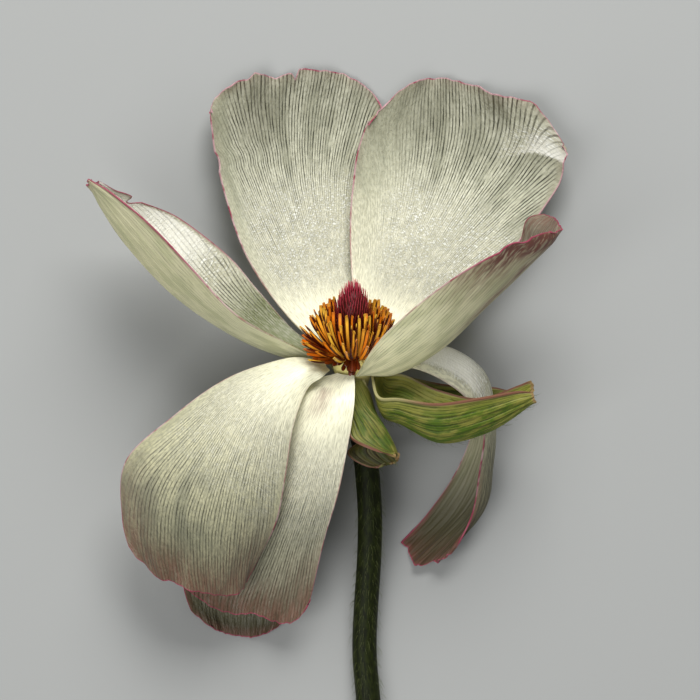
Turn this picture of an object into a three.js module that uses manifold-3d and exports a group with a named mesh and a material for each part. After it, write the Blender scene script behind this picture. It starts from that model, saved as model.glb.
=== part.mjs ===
// A single Persian buttercup (Ranunculus asiaticus), picked and laid on a surface.
// Eight cream petals, five boat-shaped sepals, a brush of strap-like stamens and a
// cone of carpels all sit on the swollen end of one hairy stem. It lies on the backs
// of its two hind petals, on the tip of its lowest drooping petal, and on its stem.
//
// Millimetres. +Z is up from the surface, +Y runs from the stem to the bloom's top
// petals, +X is to the right for someone looking down with the stem towards them.
import * as THREE from "three";
import { mergeVertices } from "three/addons/utils/BufferGeometryUtils.js";
import Module from "manifold-3d";

const wasm = await Module();
wasm.setup();

// Driving sizes
const BLOOM_X = 3.5; // the receptacle's place from the middle of the whole flower
const BLOOM_Y = 21.36;
const BLOOM_HEIGHT = 18; // the receptacle's height above the surface
const HEAD_TILT = 25; // degrees that the head looks up from lying flat
const PETAL_THICKNESS = 0.6;
const SEPAL_THICKNESS = 0.7;
const CLAW_RADIUS = 4.15; // petals stand in a ring of this radius round the receptacle
const CLAW_HALF_ANGLE = 15; // degrees, half of what one petal's narrow foot takes of the ring
const SEPAL_RADIUS = 3.7;
const HIGH_SEPAL_RADIUS = 3.95; // of the two sepals that grow higher up the receptacle
const SEPAL_HALF_ANGLE = 21;
const RECEPTACLE_RADIUS = 3.5;
const STEM_RADIUS = 2.1;
const SEAT_GAP = 0.3; // clearance between pieces that sit against each other

const rad = THREE.MathUtils.degToRad;
const lerp = THREE.MathUtils.lerp;

// The head's own axes: right, front (towards someone looking down) and up along its cone
const centre = new THREE.Vector3(0.5, 2.5, BLOOM_HEIGHT);
const right = new THREE.Vector3(1, 0, 0);
const front = new THREE.Vector3(0, -Math.sin(rad(HEAD_TILT)), Math.cos(rad(HEAD_TILT)));
const axis = new THREE.Vector3(0, Math.cos(rad(HEAD_TILT)), Math.sin(rad(HEAD_TILT)));

// A point of the head: azimuth in degrees from its right towards its front
function onHead(azimuth, radius, along) {
  return centre
    .clone()
    .addScaledVector(right, radius * Math.cos(rad(azimuth)))
    .addScaledVector(front, radius * Math.sin(rad(azimuth)))
    .addScaledVector(axis, along);
}

// A direction of the head that leans by so many degrees from the cone's own
function headDirection(azimuth, lean) {
  return onHead(azimuth, Math.sin(rad(lean)), Math.cos(rad(lean))).sub(centre);
}

// Seeded random numbers from 0 to 1, the same at each run
function seeded(seed) {
  let state = seed;
  return () => {
    state = (state * 16807) % 2147483647;
    return state / 2147483647;
  };
}

// Petals and sepals are blades. Each is described by ribs across it, from its foot to
// its tip. A rib is three points: its left margin, its middle and its right margin.
function bladeSurface(blade) {
  const lines = [0, 1, 2].map((i) => {
    const points = blade.ribs.map((rib) =>
      rib[i].isVector3 ? rib[i] : new THREE.Vector3(...rib[i]),
    );
    return new THREE.CatmullRomCurve3(points, false, "catmullrom", 0.5);
  });

  const [beforeLast, last] = lines[1].points.slice(-2);
  const reach = (blade.ribs.length - 1) * last.distanceTo(beforeLast);

  // The share that the blade falls short of its last rib by, at t across it
  function cut(t) {
    let k = blade.tip.findIndex(([place]) => place > t);
    if (k < 1) k = k === 0 ? 1 : blade.tip.length - 1;
    const [[from, shortBefore], [to, shortAfter]] = [blade.tip[k - 1], blade.tip[k]];
    return lerp(shortBefore, shortAfter, (t - from) / (to - from)) / reach;
  }

  // A point without the ruffle, at s along the blade from 0 to 1 and t across it from -1 to 1
  function smooth(s, t) {
    const u = s * (1 - cut(t) * s ** 8);
    const [left, middle, rightSide] = lines.map((line) => line.getPoint(Math.min(u, 1)));
    const chord = rightSide.clone().sub(left);
    const bow = left.clone().add(rightSide).multiplyScalar(0.5).sub(middle);
    return middle.addScaledVector(chord, t / 2).addScaledVector(bow, t * t);
  }

  function normal(s, t) {
    const step = 0.01;
    const along = smooth(Math.min(s + step, 1), t).sub(smooth(Math.max(s - step, 0), t));
    const across = smooth(s, t + step).sub(smooth(s, t - step));
    return across.cross(along).normalize();
  }

  // The ruffle grows from nothing at the blade's middle to its full height at the margin
  function point(s, t) {
    const edge = s * Math.max(s ** 7, 0.5 * t ** 8);
    const wave =
      Math.sin(blade.waves * (t + 1.7 * s) + blade.phase) +
      0.5 * Math.sin(2.3 * blade.waves * (t - s));
    return smooth(s, t).addScaledVector(normal(s, t), blade.ruffle * edge * wave);
  }

  return { point, normal };
}

// A closed thin shell on a blade's surface, with both faces split into triangles alike.
// Where it would dip below the surface that it lies on, it is pressed flat.
function bladeGeometry(blade, rows, columns, thickness) {
  const surface = bladeSurface(blade);
  const positions = [];
  for (const side of [0.5, -0.5]) {
    for (let i = 0; i <= rows; i++) {
      for (let j = 0; j <= columns; j++) {
        const s = i / rows;
        const t = (2 * j) / columns - 1;
        const place = surface.point(s, t);
        place.addScaledVector(surface.normal(s, t), side * thickness);
        positions.push(place.x, place.y, Math.max(place.z, side > 0 ? thickness : 0));
      }
    }
  }
  const count = (rows + 1) * (columns + 1);
  const at = (i, j) => i * (columns + 1) + j;
  const index = [];
  for (let i = 0; i < rows; i++) {
    for (let j = 0; j < columns; j++) {
      const [a, b, c, d] = [at(i, j), at(i, j + 1), at(i + 1, j + 1), at(i + 1, j)];
      index.push(a, b, c, a, c, d);
      index.push(count + a, count + c, count + b, count + a, count + d, count + c);
    }
  }
  const rim = [];
  for (let j = 0; j < columns; j++) rim.push(at(0, j));
  for (let i = 0; i < rows; i++) rim.push(at(i, columns));
  for (let j = columns; j > 0; j--) rim.push(at(rows, j));
  for (let i = rows; i > 0; i--) rim.push(at(i, 0));
  rim.forEach((a, k) => {
    const b = rim[(k + 1) % rim.length];
    index.push(a, count + a, count + b, a, count + b, b);
  });
  const geometry = new THREE.BufferGeometry();
  geometry.setAttribute("position", new THREE.Float32BufferAttribute(positions, 3));
  geometry.setIndex(index);
  return geometry;
}

// The foot of a petal or sepal: a short rib that hugs the receptacle
function foot(azimuth, halfAngle, radius, along) {
  return [
    onHead(azimuth - halfAngle, radius, along),
    onHead(azimuth, radius, along),
    onHead(azimuth + halfAngle, radius, along),
  ];
}

const petalFoot = (azimuth, along = -1.5) => foot(azimuth, CLAW_HALF_ANGLE, CLAW_RADIUS, along);
const sepalFoot = (azimuth, along = -4) => foot(azimuth, SEPAL_HALF_ANGLE, SEPAL_RADIUS, along);

// The eight petals, by where they stand round the head
const petals = {
  petal_hind_left: {
    ribs: [
      petalFoot(252),
      [[-9.5, 8.2, 12.5], [-3.2, 11, 9], [1.2, 11.5, 8.4]],
      [[-17.5, 19.3, 9], [-6.8, 22.5, 4], [2.4, 23, 3]],
      [[-22, 32, 6.5], [-9.5, 34, 0.5], [4, 34, 1]],
      [[-23.9, 42, 5.5], [-10, 44, 0.1], [5.4, 42.5, 0.8]],
      [[-23.7, 49.4, 5], [-9.2, 52.6, 1.6], [5.6, 49.2, 1.2]],
    ],
    tip: [[-1, 6], [-0.96, 3.1], [-0.82, 1.6], [-0.69, 1], [-0.59, 1.1], [-0.5, 0.2], [-0.37, 0.9],
      [-0.24, 2], [-0.09, 1], [-0.05, 1.1], [0.01, 2.4], [0.02, 0.2], [0.2, 0.2], [0.36, 0],
      [0.54, 0.1], [0.72, 0.7], [0.87, 1.8], [0.99, 4.4], [1, 5]],
    ruffle: 0.5, waves: 7, phase: 0.4,
  },
  petal_hind_right: {
    ribs: [
      petalFoot(298),
      [[0.8, 11, 10.6], [7, 10.5, 9.5], [12.5, 6.3, 12.5]],
      [[0, 21.8, 6.4], [12.5, 21.5, 4.5], [21, 13.5, 10.5]],
      [[0.4, 32, 4.6], [17.5, 31, 1], [30, 23.5, 8]],
      [[2.1, 40.3, 4.4], [21, 40.5, 0], [36.9, 34.4, 7]],
      [[7.4, 50.8, 4.6], [20.8, 50, 1.4], [37.2, 44, 6.8]],
    ],
    tip: [[-1, 7.4], [-0.98, 6.3], [-0.9, 4], [-0.85, 2.3], [-0.75, 1.3], [-0.65, 0.6], [-0.42, 0.3],
      [-0.29, 0], [-0.07, 0.4], [0.13, 0.3], [0.24, 0.9], [0.37, 0.7], [0.51, 0.4], [0.64, 0],
      [0.7, 0.4], [0.79, 2.1], [0.83, 3.5], [0.89, 4.8], [0.97, 6], [1, 7]],
    ruffle: 0.55, waves: 6, phase: 2.1,
  },
  petal_left: {
    ribs: [
      petalFoot(204),
      [[-10.5, 4.9, 20], [-11, 2.6, 15.5], [-9.5, 7, 11.5]],
      [[-19, 9.6, 24.5], [-20, 6.6, 15], [-15.8, 14, 9.5]],
      [[-26.5, 17.2, 27], [-29.5, 13, 15.5], [-21, 20, 9]],
      [[-34.1, 25.2, 26], [-37.3, 21, 16.5], [-29.5, 26.5, 10]],
      [[-39.5, 29.8, 24.5], [-42, 27.4, 18.5], [-36.6, 29.4, 14]],
      [[-44, 32.9, 23], [-44.2, 31.9, 21], [-42.8, 32.4, 19]],
    ],
    tip: [[-1, 0], [1, 0]], ruffle: 0.5, waves: 5, phase: 1.3,
  },
  petal_front_right: {
    ribs: [
      foot(63, 20, CLAW_RADIUS, -1.6),
      [[9, 5.5, 18], [8, -0.2, 21], [4.9, 5.3, 26.5]],
      [[15.5, 11, 16.5], [15.6, 4.1, 22.5], [11.9, 11.7, 31]],
      [[22, 17.5, 15], [23, 11.1, 24], [19.7, 17.3, 34.5]],
      [[28.4, 21.2, 18], [30, 17.8, 26], [27.4, 21.3, 34.5]],
      [[30, 25.9, 22], [33.8, 21.8, 27.5], [32.3, 23.3, 32.5]],
      [[33.1, 26.9, 24], [35.4, 25, 27.5], [34.2, 23.2, 31]],
    ],
    tip: [[-1, 0.4], [-0.6, 0], [1, 0.3]], ruffle: 0.25, waves: 5, phase: 0.7,
  },
  petal_low_outer: {
    ribs: [
      foot(161, CLAW_HALF_ANGLE, CLAW_RADIUS + 0.6, -1.2),
      [[-4.8, -0.9, 22.4], [-6.4, 1, 22.3], [-7.2, 2.3, 19.6]],
      [[-7.3, -2.9, 23.2], [-9.8, -0.3, 23.8], [-11.8, 2.1, 19.5]],
      [[-9.6, -9, 25.5], [-16.5, -5.5, 27.5], [-20.5, -1, 20.5]],
      [[-11, -17.5, 23], [-22, -14.5, 27], [-29.6, -7.3, 19]],
      [[-12.8, -26, 18], [-25.5, -24, 22.5], [-38, -15, 15.5]],
      [[-15.8, -32.5, 13.5], [-26, -32, 17], [-39, -24.8, 12.5]],
      [[-18, -37.4, 10.5], [-25.5, -38.5, 13], [-37.3, -32.2, 11.5]],
    ],
    tip: [[-1, 2.1], [-0.97, 1.9], [-0.73, 1.6], [-0.52, 0.8], [-0.27, 1], [-0.03, 0.7], [0.17, 1],
      [0.32, 1.4], [0.49, 0.9], [0.61, 0], [0.7, 0], [0.83, 0.5], [0.95, 0.8], [1, 2.4]],
    ruffle: 0.5, waves: 6, phase: 1.9,
  },
  petal_low_middle: {
    ribs: [
      foot(108, 21, CLAW_RADIUS, -1.5),
      [[0.8, -2.7, 22.2], [-2.6, -2.4, 21.6], [-6.2, -1.5, 19.2]],
      [[0.6, -6, 23.5], [-3.8, -5.6, 23.4], [-9.2, -4.2, 21]],
      [[-0.2, -11.2, 22.5], [-6.5, -12.5, 22.5], [-13, -11.5, 19.5]],
      [[-2, -20.5, 19.5], [-10, -22, 18], [-19, -20, 14]],
      [[-4.6, -29.5, 13], [-13.5, -31, 10], [-23, -29, 8]],
      [[-6.6, -38.2, 8], [-16.5, -38.8, 6.5], [-27.6, -34.6, 6.5]],
      [[-8.1, -43.7, 6.5], [-17.2, -42.9, 5], [-27.7, -38.8, 5.5]],
    ],
    tip: [[-1, 3.7], [-0.95, 2.3], [-0.88, 1.2], [-0.73, 0.6], [-0.54, 0.3], [-0.35, 0.7], [-0.16, 1.4],
      [0.02, 1.6], [0.25, 0.6], [0.5, 0], [0.67, 0.1], [0.83, 0.5], [0.98, 1.1], [1, 1.2]],
    ruffle: 0.35, waves: 6, phase: 3.1,
  },
  petal_low_inner: {
    ribs: [
      petalFoot(131, -2.9),
      [[-3.5, -7, 19.5], [-6.5, -6.5, 19.5], [-9.5, -5, 17.5]],
      [[-4, -14, 17.5], [-10, -14.5, 17], [-16, -12, 14.5]],
      [[-6, -24, 12], [-14, -25, 10.5], [-23, -21, 9.5]],
      [[-8, -34, 5.5], [-17.5, -35, 3.5], [-28, -30.5, 5]],
      [[-10, -40, 3], [-19, -41, 0.9], [-28.8, -37, 3]],
      [[-12, -43.9, 1.6], [-19, -45.9, 0], [-27, -42.4, 1.4]],
    ],
    tip: [[-1, 0.6], [-0.7, 0], [0.5, 0], [0.8, 0.4], [1, 1]], ruffle: 0.4, waves: 6, phase: 0.2,
  },
  petal_curled: {
    ribs: [
      petalFoot(350),
      [[11.5, 1.3, 12.5], [11.5, 4, 14], [11, 0.6, 17]],
      [[17, -0.9, 9], [17.5, 3.9, 12.5], [16.2, -1.7, 15]],
      [[20.5, -4.5, 6.5], [23.3, -0.6, 10.5], [20.2, -5, 13.5]],
      [[21.2, -9.5, 4], [24.8, -8.5, 8.5], [22.8, -10, 12]],
      [[18.5, -17, 2], [24.3, -16, 6.5], [22.2, -17.5, 10]],
      [[13.5, -24.5, 0.4], [22.2, -23.5, 4.4], [20.9, -24.8, 7.4]],
      [[8.6, -29.8, 0.2], [12.6, -34, 2], [17.6, -30.9, 5]],
    ],
    tip: [[-1, 0.6], [-0.84, 1.4], [-0.63, 0.6], [-0.29, 0], [-0.1, 0.6], [0, 1.2], [0.07, 2], [0.35, 1.2],
      [0.67, 0.5], [1, 0]],
    ruffle: 0.4, waves: 7, phase: 1.1,
  },
};

// The five sepals: thick green boats that stand below the petals
const sepals = {
  sepal_right: {
    ribs: [
      foot(15, SEPAL_HALF_ANGLE, HIGH_SEPAL_RADIUS, -2.4),
      [[6, -0.4, 15.4], [5.6, -6.8, 17.8], [4.8, -4.2, 22.3]],
      [[9.4, -0.6, 15.6], [9, -8.7, 18.5], [8.2, -4.5, 23]],
      [[15, -3.1, 15.5], [15.5, -11.8, 19.5], [14.5, -5.3, 25]],
      [[22, -4.5, 17], [23, -10.2, 20], [21.5, -4.4, 24.5]],
      [[28.5, -2.4, 18.5], [29, -6.6, 20.5], [28, -3.3, 23]],
      [[30.7, -1.4, 19.6], [31.2, -4.5, 21], [30.9, -3.4, 22]],
    ],
    tip: [[-1, 0], [1, 0]], ruffle: 0.3, waves: 5, phase: 0.5,
  },
  sepal_hind_right: {
    ribs: [
      sepalFoot(325),
      [[9, -3, 7], [9, -5, 10.5], [9.5, -0.8, 12.5]],
      [[16, -4, 2.5], [16, -8, 6], [16, -2.1, 7.5]],
      [[22.5, -4.5, 1], [22.5, -7, 3], [23.5, -2.6, 4]],
      [[27, -3.8, 1.4], [27.2, -4.6, 2], [27.2, -3.2, 2.6]],
    ],
    tip: [[-1, 0], [1, 0]], ruffle: 0.25, waves: 5, phase: 1.5,
  },
  sepal_front: {
    ribs: [
      foot(84, SEPAL_HALF_ANGLE, HIGH_SEPAL_RADIUS, -2.5),
      [[3.8, -5.6, 17.4], [3, -5.9, 20.6], [-0.8, -5.4, 20.2]],
      [[3, -10.6, 17.6], [5.6, -9.2, 21.4], [-0.4, -9, 21]],
      [[-0.4, -13.8, 17.6], [7.2, -12.2, 21], [0.2, -11.2, 22]],
      [[3.6, -16.2, 18.2], [7.9, -14, 20.8], [3.6, -13, 22.6]],
      [[7, -15.5, 19.6], [8.2, -14.8, 20.6], [7.4, -14, 22]],
    ],
    tip: [[-1, 0], [1, 0]], ruffle: 0.3, waves: 5, phase: 2.5,
  },
  sepal_left: {
    ribs: [
      sepalFoot(152),
      [[-5.5, -6.5, 15.6], [-7, -4.6, 14.2], [-7.4, -2.2, 15]],
      [[-10, -10.5, 13.6], [-12, -8, 11.4], [-13.2, -5, 12.6]],
      [[-15, -13, 11.5], [-17, -10.8, 9.4], [-18.2, -8.6, 10.4]],
      [[-19.6, -13.6, 9.8], [-20.2, -13, 9], [-20.6, -12.2, 9.4]],
    ],
    tip: [[-1, 0], [1, 0]], ruffle: 0.3, waves: 5, phase: 3.5,
  },
  sepal_hind_left: {
    ribs: [
      sepalFoot(238),
      [[-5.6, 4.2, 10.6], [-3.6, 5.4, 9.4], [-1.4, 6, 10.4]],
      [[-9.4, 9.6, 7.6], [-7, 10.6, 6], [-4, 11.6, 6.6]],
      [[-11.8, 14.8, 5.2], [-9.8, 16, 3.8], [-7.4, 16.6, 4.2]],
      [[-11.4, 19.2, 3.6], [-10.8, 19.8, 3], [-10, 20, 3.2]],
    ],
    tip: [[-1, 0], [1, 0]], ruffle: 0.3, waves: 5, phase: 4.5,
  },
};

// Loops of points, all with as many points, skinned into one closed solid
function skin(loops) {
  const sides = loops[0].length;
  const positions = loops.flat().flatMap((p) => [p.x, p.y, p.z]);
  const index = [];
  for (let k = 0; k < loops.length - 1; k++) {
    for (let i = 0; i < sides; i++) {
      const a = k * sides + i;
      const b = k * sides + ((i + 1) % sides);
      index.push(a, b, b + sides, a, b + sides, a + sides);
    }
  }
  for (const [loop, flip] of [[0, true], [loops.length - 1, false]]) {
    for (let i = 1; i < sides - 1; i++) {
      const [a, b, c] = [loop * sides, loop * sides + i, loop * sides + i + 1];
      index.push(...(flip ? [a, c, b] : [a, b, c]));
    }
  }
  const geometry = new THREE.BufferGeometry();
  geometry.setAttribute("position", new THREE.Float32BufferAttribute(positions, 3));
  geometry.setIndex(index);
  return geometry;
}

// Loops of a round section along points, each with its own radius
function tubeLoops(points, radii, sides) {
  const curve = new THREE.CatmullRomCurve3(points);
  const steps = radii.length - 1;
  const frames = curve.computeFrenetFrames(steps, false);
  return radii.map((radius, k) => {
    const middle = curve.getPointAt(k / steps);
    return Array.from({ length: sides }, (_, i) => {
      const turn = (2 * Math.PI * i) / sides;
      return middle
        .clone()
        .addScaledVector(frames.normals[k], radius * Math.cos(turn))
        .addScaledVector(frames.binormals[k], radius * Math.sin(turn));
    });
  });
}

function solidOf(geometry) {
  const plain = new THREE.BufferGeometry();
  plain.setAttribute("position", geometry.getAttribute("position"));
  plain.setIndex(geometry.getIndex());
  const merged = mergeVertices(plain, 1e-4);
  return new wasm.Manifold(
    new wasm.Mesh({
      numProp: 3,
      vertProperties: merged.attributes.position.array,
      triVerts: new Uint32Array(merged.index.array),
    }),
  );
}

// The outer skin alone, without the tiny voids that crossing straps or beaks can close off
function geometryOf(solid) {
  const skins = solid.decompose().sort((a, b) => b.volume() - a.volume());
  const mesh = skins[0].getMesh();
  const geometry = new THREE.BufferGeometry();
  geometry.setAttribute("position", new THREE.BufferAttribute(mesh.vertProperties, 3));
  geometry.setIndex(new THREE.BufferAttribute(mesh.triVerts, 1));
  return geometry;
}

// A round of the head: rings of [radius, place along the axis]
function headLoops(rings, sides) {
  return rings.map(([radius, along]) =>
    Array.from({ length: sides }, (_, i) => onHead((-360 * i) / sides, radius, along)),
  );
}

// The stem with the receptacle that it swells into
const STEM_SIDES = 12;
const STEM_STEPS = 26;
const stemLine = [
  onHead(0, 0, -5.5),
  [1.6, -8, 13],
  [2.8, -15.8, 10],
  [3.4, -24, 7.4],
  [3.3, -32, 5],
  [2.8, -40, 3.2],
  [2.5, -48, 2.2],
  [3.1, -56, 2],
  [4.4, -70, 2],
  [4.9, -95, 2],
].map((p) => (p.isVector3 ? p : new THREE.Vector3(...p)));

function stemGeometry() {
  const radii = Array.from({ length: STEM_STEPS + 1 }, () => STEM_RADIUS);
  const loops = tubeLoops(stemLine, radii, STEM_SIDES);
  loops.flat().forEach((p) => {
    p.z = Math.max(p.z, 0);
  });
  const receptacle = headLoops(
    [
      [STEM_RADIUS - 0.2, -7],
      [2.4, -5.6],
      [2.8, -4.4],
      [3, -3.2],
      [3.2, -2.2],
      [RECEPTACLE_RADIUS, -1.2],
      [RECEPTACLE_RADIUS, 0],
    ],
    24,
  );
  return geometryOf(solidOf(skin(loops)).add(solidOf(skin(receptacle))));
}

// The stamens: straps in a brush, rooted in the middle zone of the receptacle.
// They lean outwards until they meet a petal, so how far depends on the side.
const STAMEN_COUNT = 84;
const STAMEN_LENGTH = 7.1;
const STAMEN_HALF_WIDTH = 0.42;
const STAMEN_LEAST_LEAN = 27;
const STAMEN_MOST_LEAN = [
  [0, 46], [30, 30], [70, 30], [95, 88], [120, 88], [138, 76], [160, 66], [195, 56],
  [225, 45], [270, 40], [320, 40], [360, 46],
];
const GOLDEN_ANGLE = 137.508;

function mostLean(azimuth) {
  const a = ((azimuth % 360) + 360) % 360;
  const k = STAMEN_MOST_LEAN.findIndex(([place]) => place >= a);
  if (k <= 0) return STAMEN_MOST_LEAN[0][1];
  const [[a0, lean0], [a1, lean1]] = [STAMEN_MOST_LEAN[k - 1], STAMEN_MOST_LEAN[k]];
  return lerp(lean0, lean1, (a - a0) / (a1 - a0));
}

function stamenGeometry() {
  const random = seeded(41);
  let brush = solidOf(
    skin(headLoops([[3.3, SEAT_GAP], [3.2, 1.6], [2.8, 2.6]], 18)),
  );
  for (let i = 0; i < STAMEN_COUNT; i++) {
    const level = (i + 0.5) / STAMEN_COUNT;
    const azimuth = i * GOLDEN_ANGLE;
    const lean = lerp(mostLean(azimuth), STAMEN_LEAST_LEAN, level) + 5 * (random() - 0.5);
    const length = STAMEN_LENGTH * lerp(1.05, 0.9, level) * lerp(0.93, 1.07, random());
    const root = onHead(azimuth, lerp(3, 2.7, level), lerp(0.8, 2.1, level));
    const heading = headDirection(azimuth, lean);
    const rise = headDirection(azimuth, Math.max(lean - 16, 4));
    const points = [
      root,
      root.clone().addScaledVector(heading, 0.5 * length),
      root.clone().addScaledVector(heading, 0.5 * length).addScaledVector(rise, 0.5 * length),
    ];
    const radii = [0.8, 1, 0.6].map((share) => share * STAMEN_HALF_WIDTH);
    brush = brush.add(solidOf(skin(tubeLoops(points, radii, 4))));
  }
  return geometryOf(brush);
}

// The carpels: a cone beset with short beaks that point up and outwards
const CARPEL_COUNT = 96;
const CONE = [[2.4, 2.9], [2.75, 5], [2.75, 7.7], [2.4, 9.8], [1.6, 11.6], [0.7, 12.7]];
const BEAK_LENGTH = 1.9;
const BEAK_HALF_WIDTH = 0.42;

function carpelGeometry() {
  let cone = solidOf(skin(headLoops(CONE, 16)));
  for (let i = 0; i < CARPEL_COUNT; i++) {
    const level = (i + 0.5) / CARPEL_COUNT;
    const place = level * (CONE.length - 1.001);
    const [below, above] = [CONE[Math.floor(place)], CONE[Math.floor(place) + 1]];
    const radius = lerp(below[0], above[0], place % 1) - 0.6;
    const along = lerp(below[1], above[1], place % 1) + 0.3;
    const azimuth = i * GOLDEN_ANGLE;
    const root = onHead(azimuth, radius, along);
    const heading = headDirection(azimuth, lerp(52, 12, level));
    const length = BEAK_LENGTH * lerp(0.7, 1, Math.min(2 * level, 1));
    const points = [root, root.clone().addScaledVector(heading, length)];
    cone = cone.add(solidOf(skin(tubeLoops(points, [BEAK_HALF_WIDTH, 0.12], 3))));
  }
  return geometryOf(cone);
}

// Colours and finishes
const finish = (color, roughness) =>
  new THREE.MeshStandardMaterial({ color, roughness, metalness: 0, side: THREE.DoubleSide });
const petalFinish = finish(0xe9e6cf, 0.5);
const sepalFinish = finish(0x7d8c4a, 0.6);
const stemFinish = finish(0x4c5c2a, 0.7);
const stamenFinish = finish(0xc9701a, 0.5);
const carpelFinish = finish(0x6b1f2b, 0.6);

const PETAL_GRID = [16, 12]; // rows along a petal and columns across it
const SEPAL_GRID = [9, 6];

const flower = new THREE.Group();
flower.name = "ranunculus";
const bloom = new THREE.Group();
bloom.position.set(BLOOM_X, BLOOM_Y, 0);
flower.add(bloom);

function addPiece(name, geometry, material) {
  const mesh = new THREE.Mesh(geometry, material);
  mesh.name = name;
  bloom.add(mesh);
}

for (const [name, blade] of Object.entries(petals)) {
  addPiece(name, bladeGeometry(blade, ...PETAL_GRID, PETAL_THICKNESS), petalFinish);
}
for (const [name, blade] of Object.entries(sepals)) {
  addPiece(name, bladeGeometry(blade, ...SEPAL_GRID, SEPAL_THICKNESS), sepalFinish);
}
addPiece("stem", stemGeometry(), stemFinish);
addPiece("stamens", stamenGeometry(), stamenFinish);
addPiece("carpels", carpelGeometry(), carpelFinish);

export default flower;
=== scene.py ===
# %% [markdown]
# # A picked Persian buttercup, laid on its side
#
# One bloom of Ranunculus asiaticus lies on a grey table: eight cream petals, five green
# sepals, a brush of orange stamens, a cone of crimson carpels and a hairy stem. The solid
# model is loaded first and stays as it is. Each of its pieces is then stood in for by a
# finer one of the same shape, at the same place, with its own finish.

# %% Start: the solid model and its box
import math

import bpy
import numpy as np
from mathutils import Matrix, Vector


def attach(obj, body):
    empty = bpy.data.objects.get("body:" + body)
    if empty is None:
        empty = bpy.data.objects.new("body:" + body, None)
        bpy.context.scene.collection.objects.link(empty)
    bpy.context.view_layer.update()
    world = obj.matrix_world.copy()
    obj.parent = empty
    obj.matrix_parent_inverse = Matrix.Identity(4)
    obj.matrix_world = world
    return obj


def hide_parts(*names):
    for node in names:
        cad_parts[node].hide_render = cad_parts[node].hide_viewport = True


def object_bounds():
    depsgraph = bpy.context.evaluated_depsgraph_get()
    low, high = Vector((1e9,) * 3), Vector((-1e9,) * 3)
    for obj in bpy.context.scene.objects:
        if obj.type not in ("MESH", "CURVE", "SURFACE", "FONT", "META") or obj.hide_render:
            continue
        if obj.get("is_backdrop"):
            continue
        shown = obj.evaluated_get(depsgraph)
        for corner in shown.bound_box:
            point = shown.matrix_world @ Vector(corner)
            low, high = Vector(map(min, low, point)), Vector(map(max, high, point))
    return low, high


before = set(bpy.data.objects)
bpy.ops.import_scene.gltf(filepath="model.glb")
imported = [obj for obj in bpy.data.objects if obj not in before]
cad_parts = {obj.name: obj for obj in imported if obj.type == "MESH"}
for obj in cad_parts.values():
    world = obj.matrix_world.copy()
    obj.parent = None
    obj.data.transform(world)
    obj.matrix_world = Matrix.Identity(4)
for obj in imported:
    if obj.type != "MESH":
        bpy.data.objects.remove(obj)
solid_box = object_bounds()
print("solid nodes:", len(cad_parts))
print("solid box in mm:", [[round(1000 * c, 1) for c in corner] for corner in solid_box])

# %% [markdown]
# # Units and the head's own directions
#
# Blender counts in metres and a flower is better thought of in millimetres, so all shapes
# are worked out in millimetres and turned to metres once, when they become a mesh. The
# flower lies down and its head looks up a little. Petals and stamens stand round the
# head, so their places are easiest to say as a direction round it and a height along it.

# %% Millimetres, the head's axes and random numbers
MM = 0.001
BLOOM_PLACE = np.array([3.5, 21.36, 0.0])  # from the middle of the whole flower to the bloom
HEAD_TILT = math.radians(25)
HEAD_CENTRE = np.array([0.5, 2.5, 18.0])
HEAD_RIGHT = np.array([1.0, 0.0, 0.0])
HEAD_FRONT = np.array([0.0, -math.sin(HEAD_TILT), math.cos(HEAD_TILT)])
HEAD_AXIS = np.array([0.0, math.cos(HEAD_TILT), math.sin(HEAD_TILT)])
GOLDEN_ANGLE = 137.508


def on_head(azimuth, radius, along):
    """A point of the head, its azimuth in degrees from the head's right towards its front."""
    turn = math.radians(azimuth)
    outwards = math.cos(turn) * HEAD_RIGHT + math.sin(turn) * HEAD_FRONT
    return HEAD_CENTRE + radius * outwards + along * HEAD_AXIS


def head_direction(azimuth, lean):
    """A direction that leans by so many degrees from the head's own axis."""
    return on_head(azimuth, math.sin(math.radians(lean)), math.cos(math.radians(lean))) - HEAD_CENTRE


def in_metres(points):
    return (np.asarray(points) + BLOOM_PLACE) * MM


random = np.random.default_rng(41)
print("the head looks up along", np.round(HEAD_AXIS, 2))

# %% [markdown]
# # Camera, table and light
#
# The picture looks at the flower from straight above, so the camera needs no turn. A long
# lens a metre away keeps the petals that stand up from growing in the picture. The table
# is one plain grey plane. Two large soft lamps and an even sky give the light of a studio
# tent: the stronger one stands beyond the petals' tips, so it fills the open bloom and
# leaves the stem darker.

# %% Camera, straight above the bloom
PICTURE_WIDTH = 119.0  # mm that the picture shows, at the height of the head
PICTURE_MIDDLE = np.array([0.0, 3.74, HEAD_CENTRE[2]])
LENS = 300.0
SENSOR = 36.0

camera_height = PICTURE_WIDTH * LENS / SENSOR
eye = in_metres(PICTURE_MIDDLE + np.array([0, 0, camera_height]))
bpy.ops.object.camera_add(location=eye, rotation=(0, 0, 0))
camera = bpy.context.object
camera.data.lens = LENS
camera.data.sensor_width = SENSOR
camera.data.clip_end = 20
bpy.context.scene.camera = camera
print("camera at", [round(c, 3) for c in eye])


# %% A helper for colours and one for nodes
def linear(hex_colour):
    """An sRGB colour such as "#f3efd8" as the linear numbers that Blender works with."""
    parts = [int(hex_colour[i : i + 2], 16) / 255 for i in (1, 3, 5)]
    return tuple(p / 12.92 if p <= 0.04045 else ((p + 0.055) / 1.055) ** 2.4 for p in parts) + (1,)


def add_node(tree, kind, inputs, **settings):
    """Adds a node. An input is a number, a hex colour, a socket, or a node whose output feeds it."""
    node = tree.nodes.new(kind)
    for name, value in settings.items():
        setattr(node, name, value)
    for name, value in inputs.items():
        if isinstance(value, bpy.types.Node):
            value = next(socket for socket in value.outputs if socket.enabled)
        if isinstance(value, bpy.types.NodeSocket):
            tree.links.new(value, node.inputs[name])
        else:
            node.inputs[name].default_value = linear(value) if isinstance(value, str) else value
    return node


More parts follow.
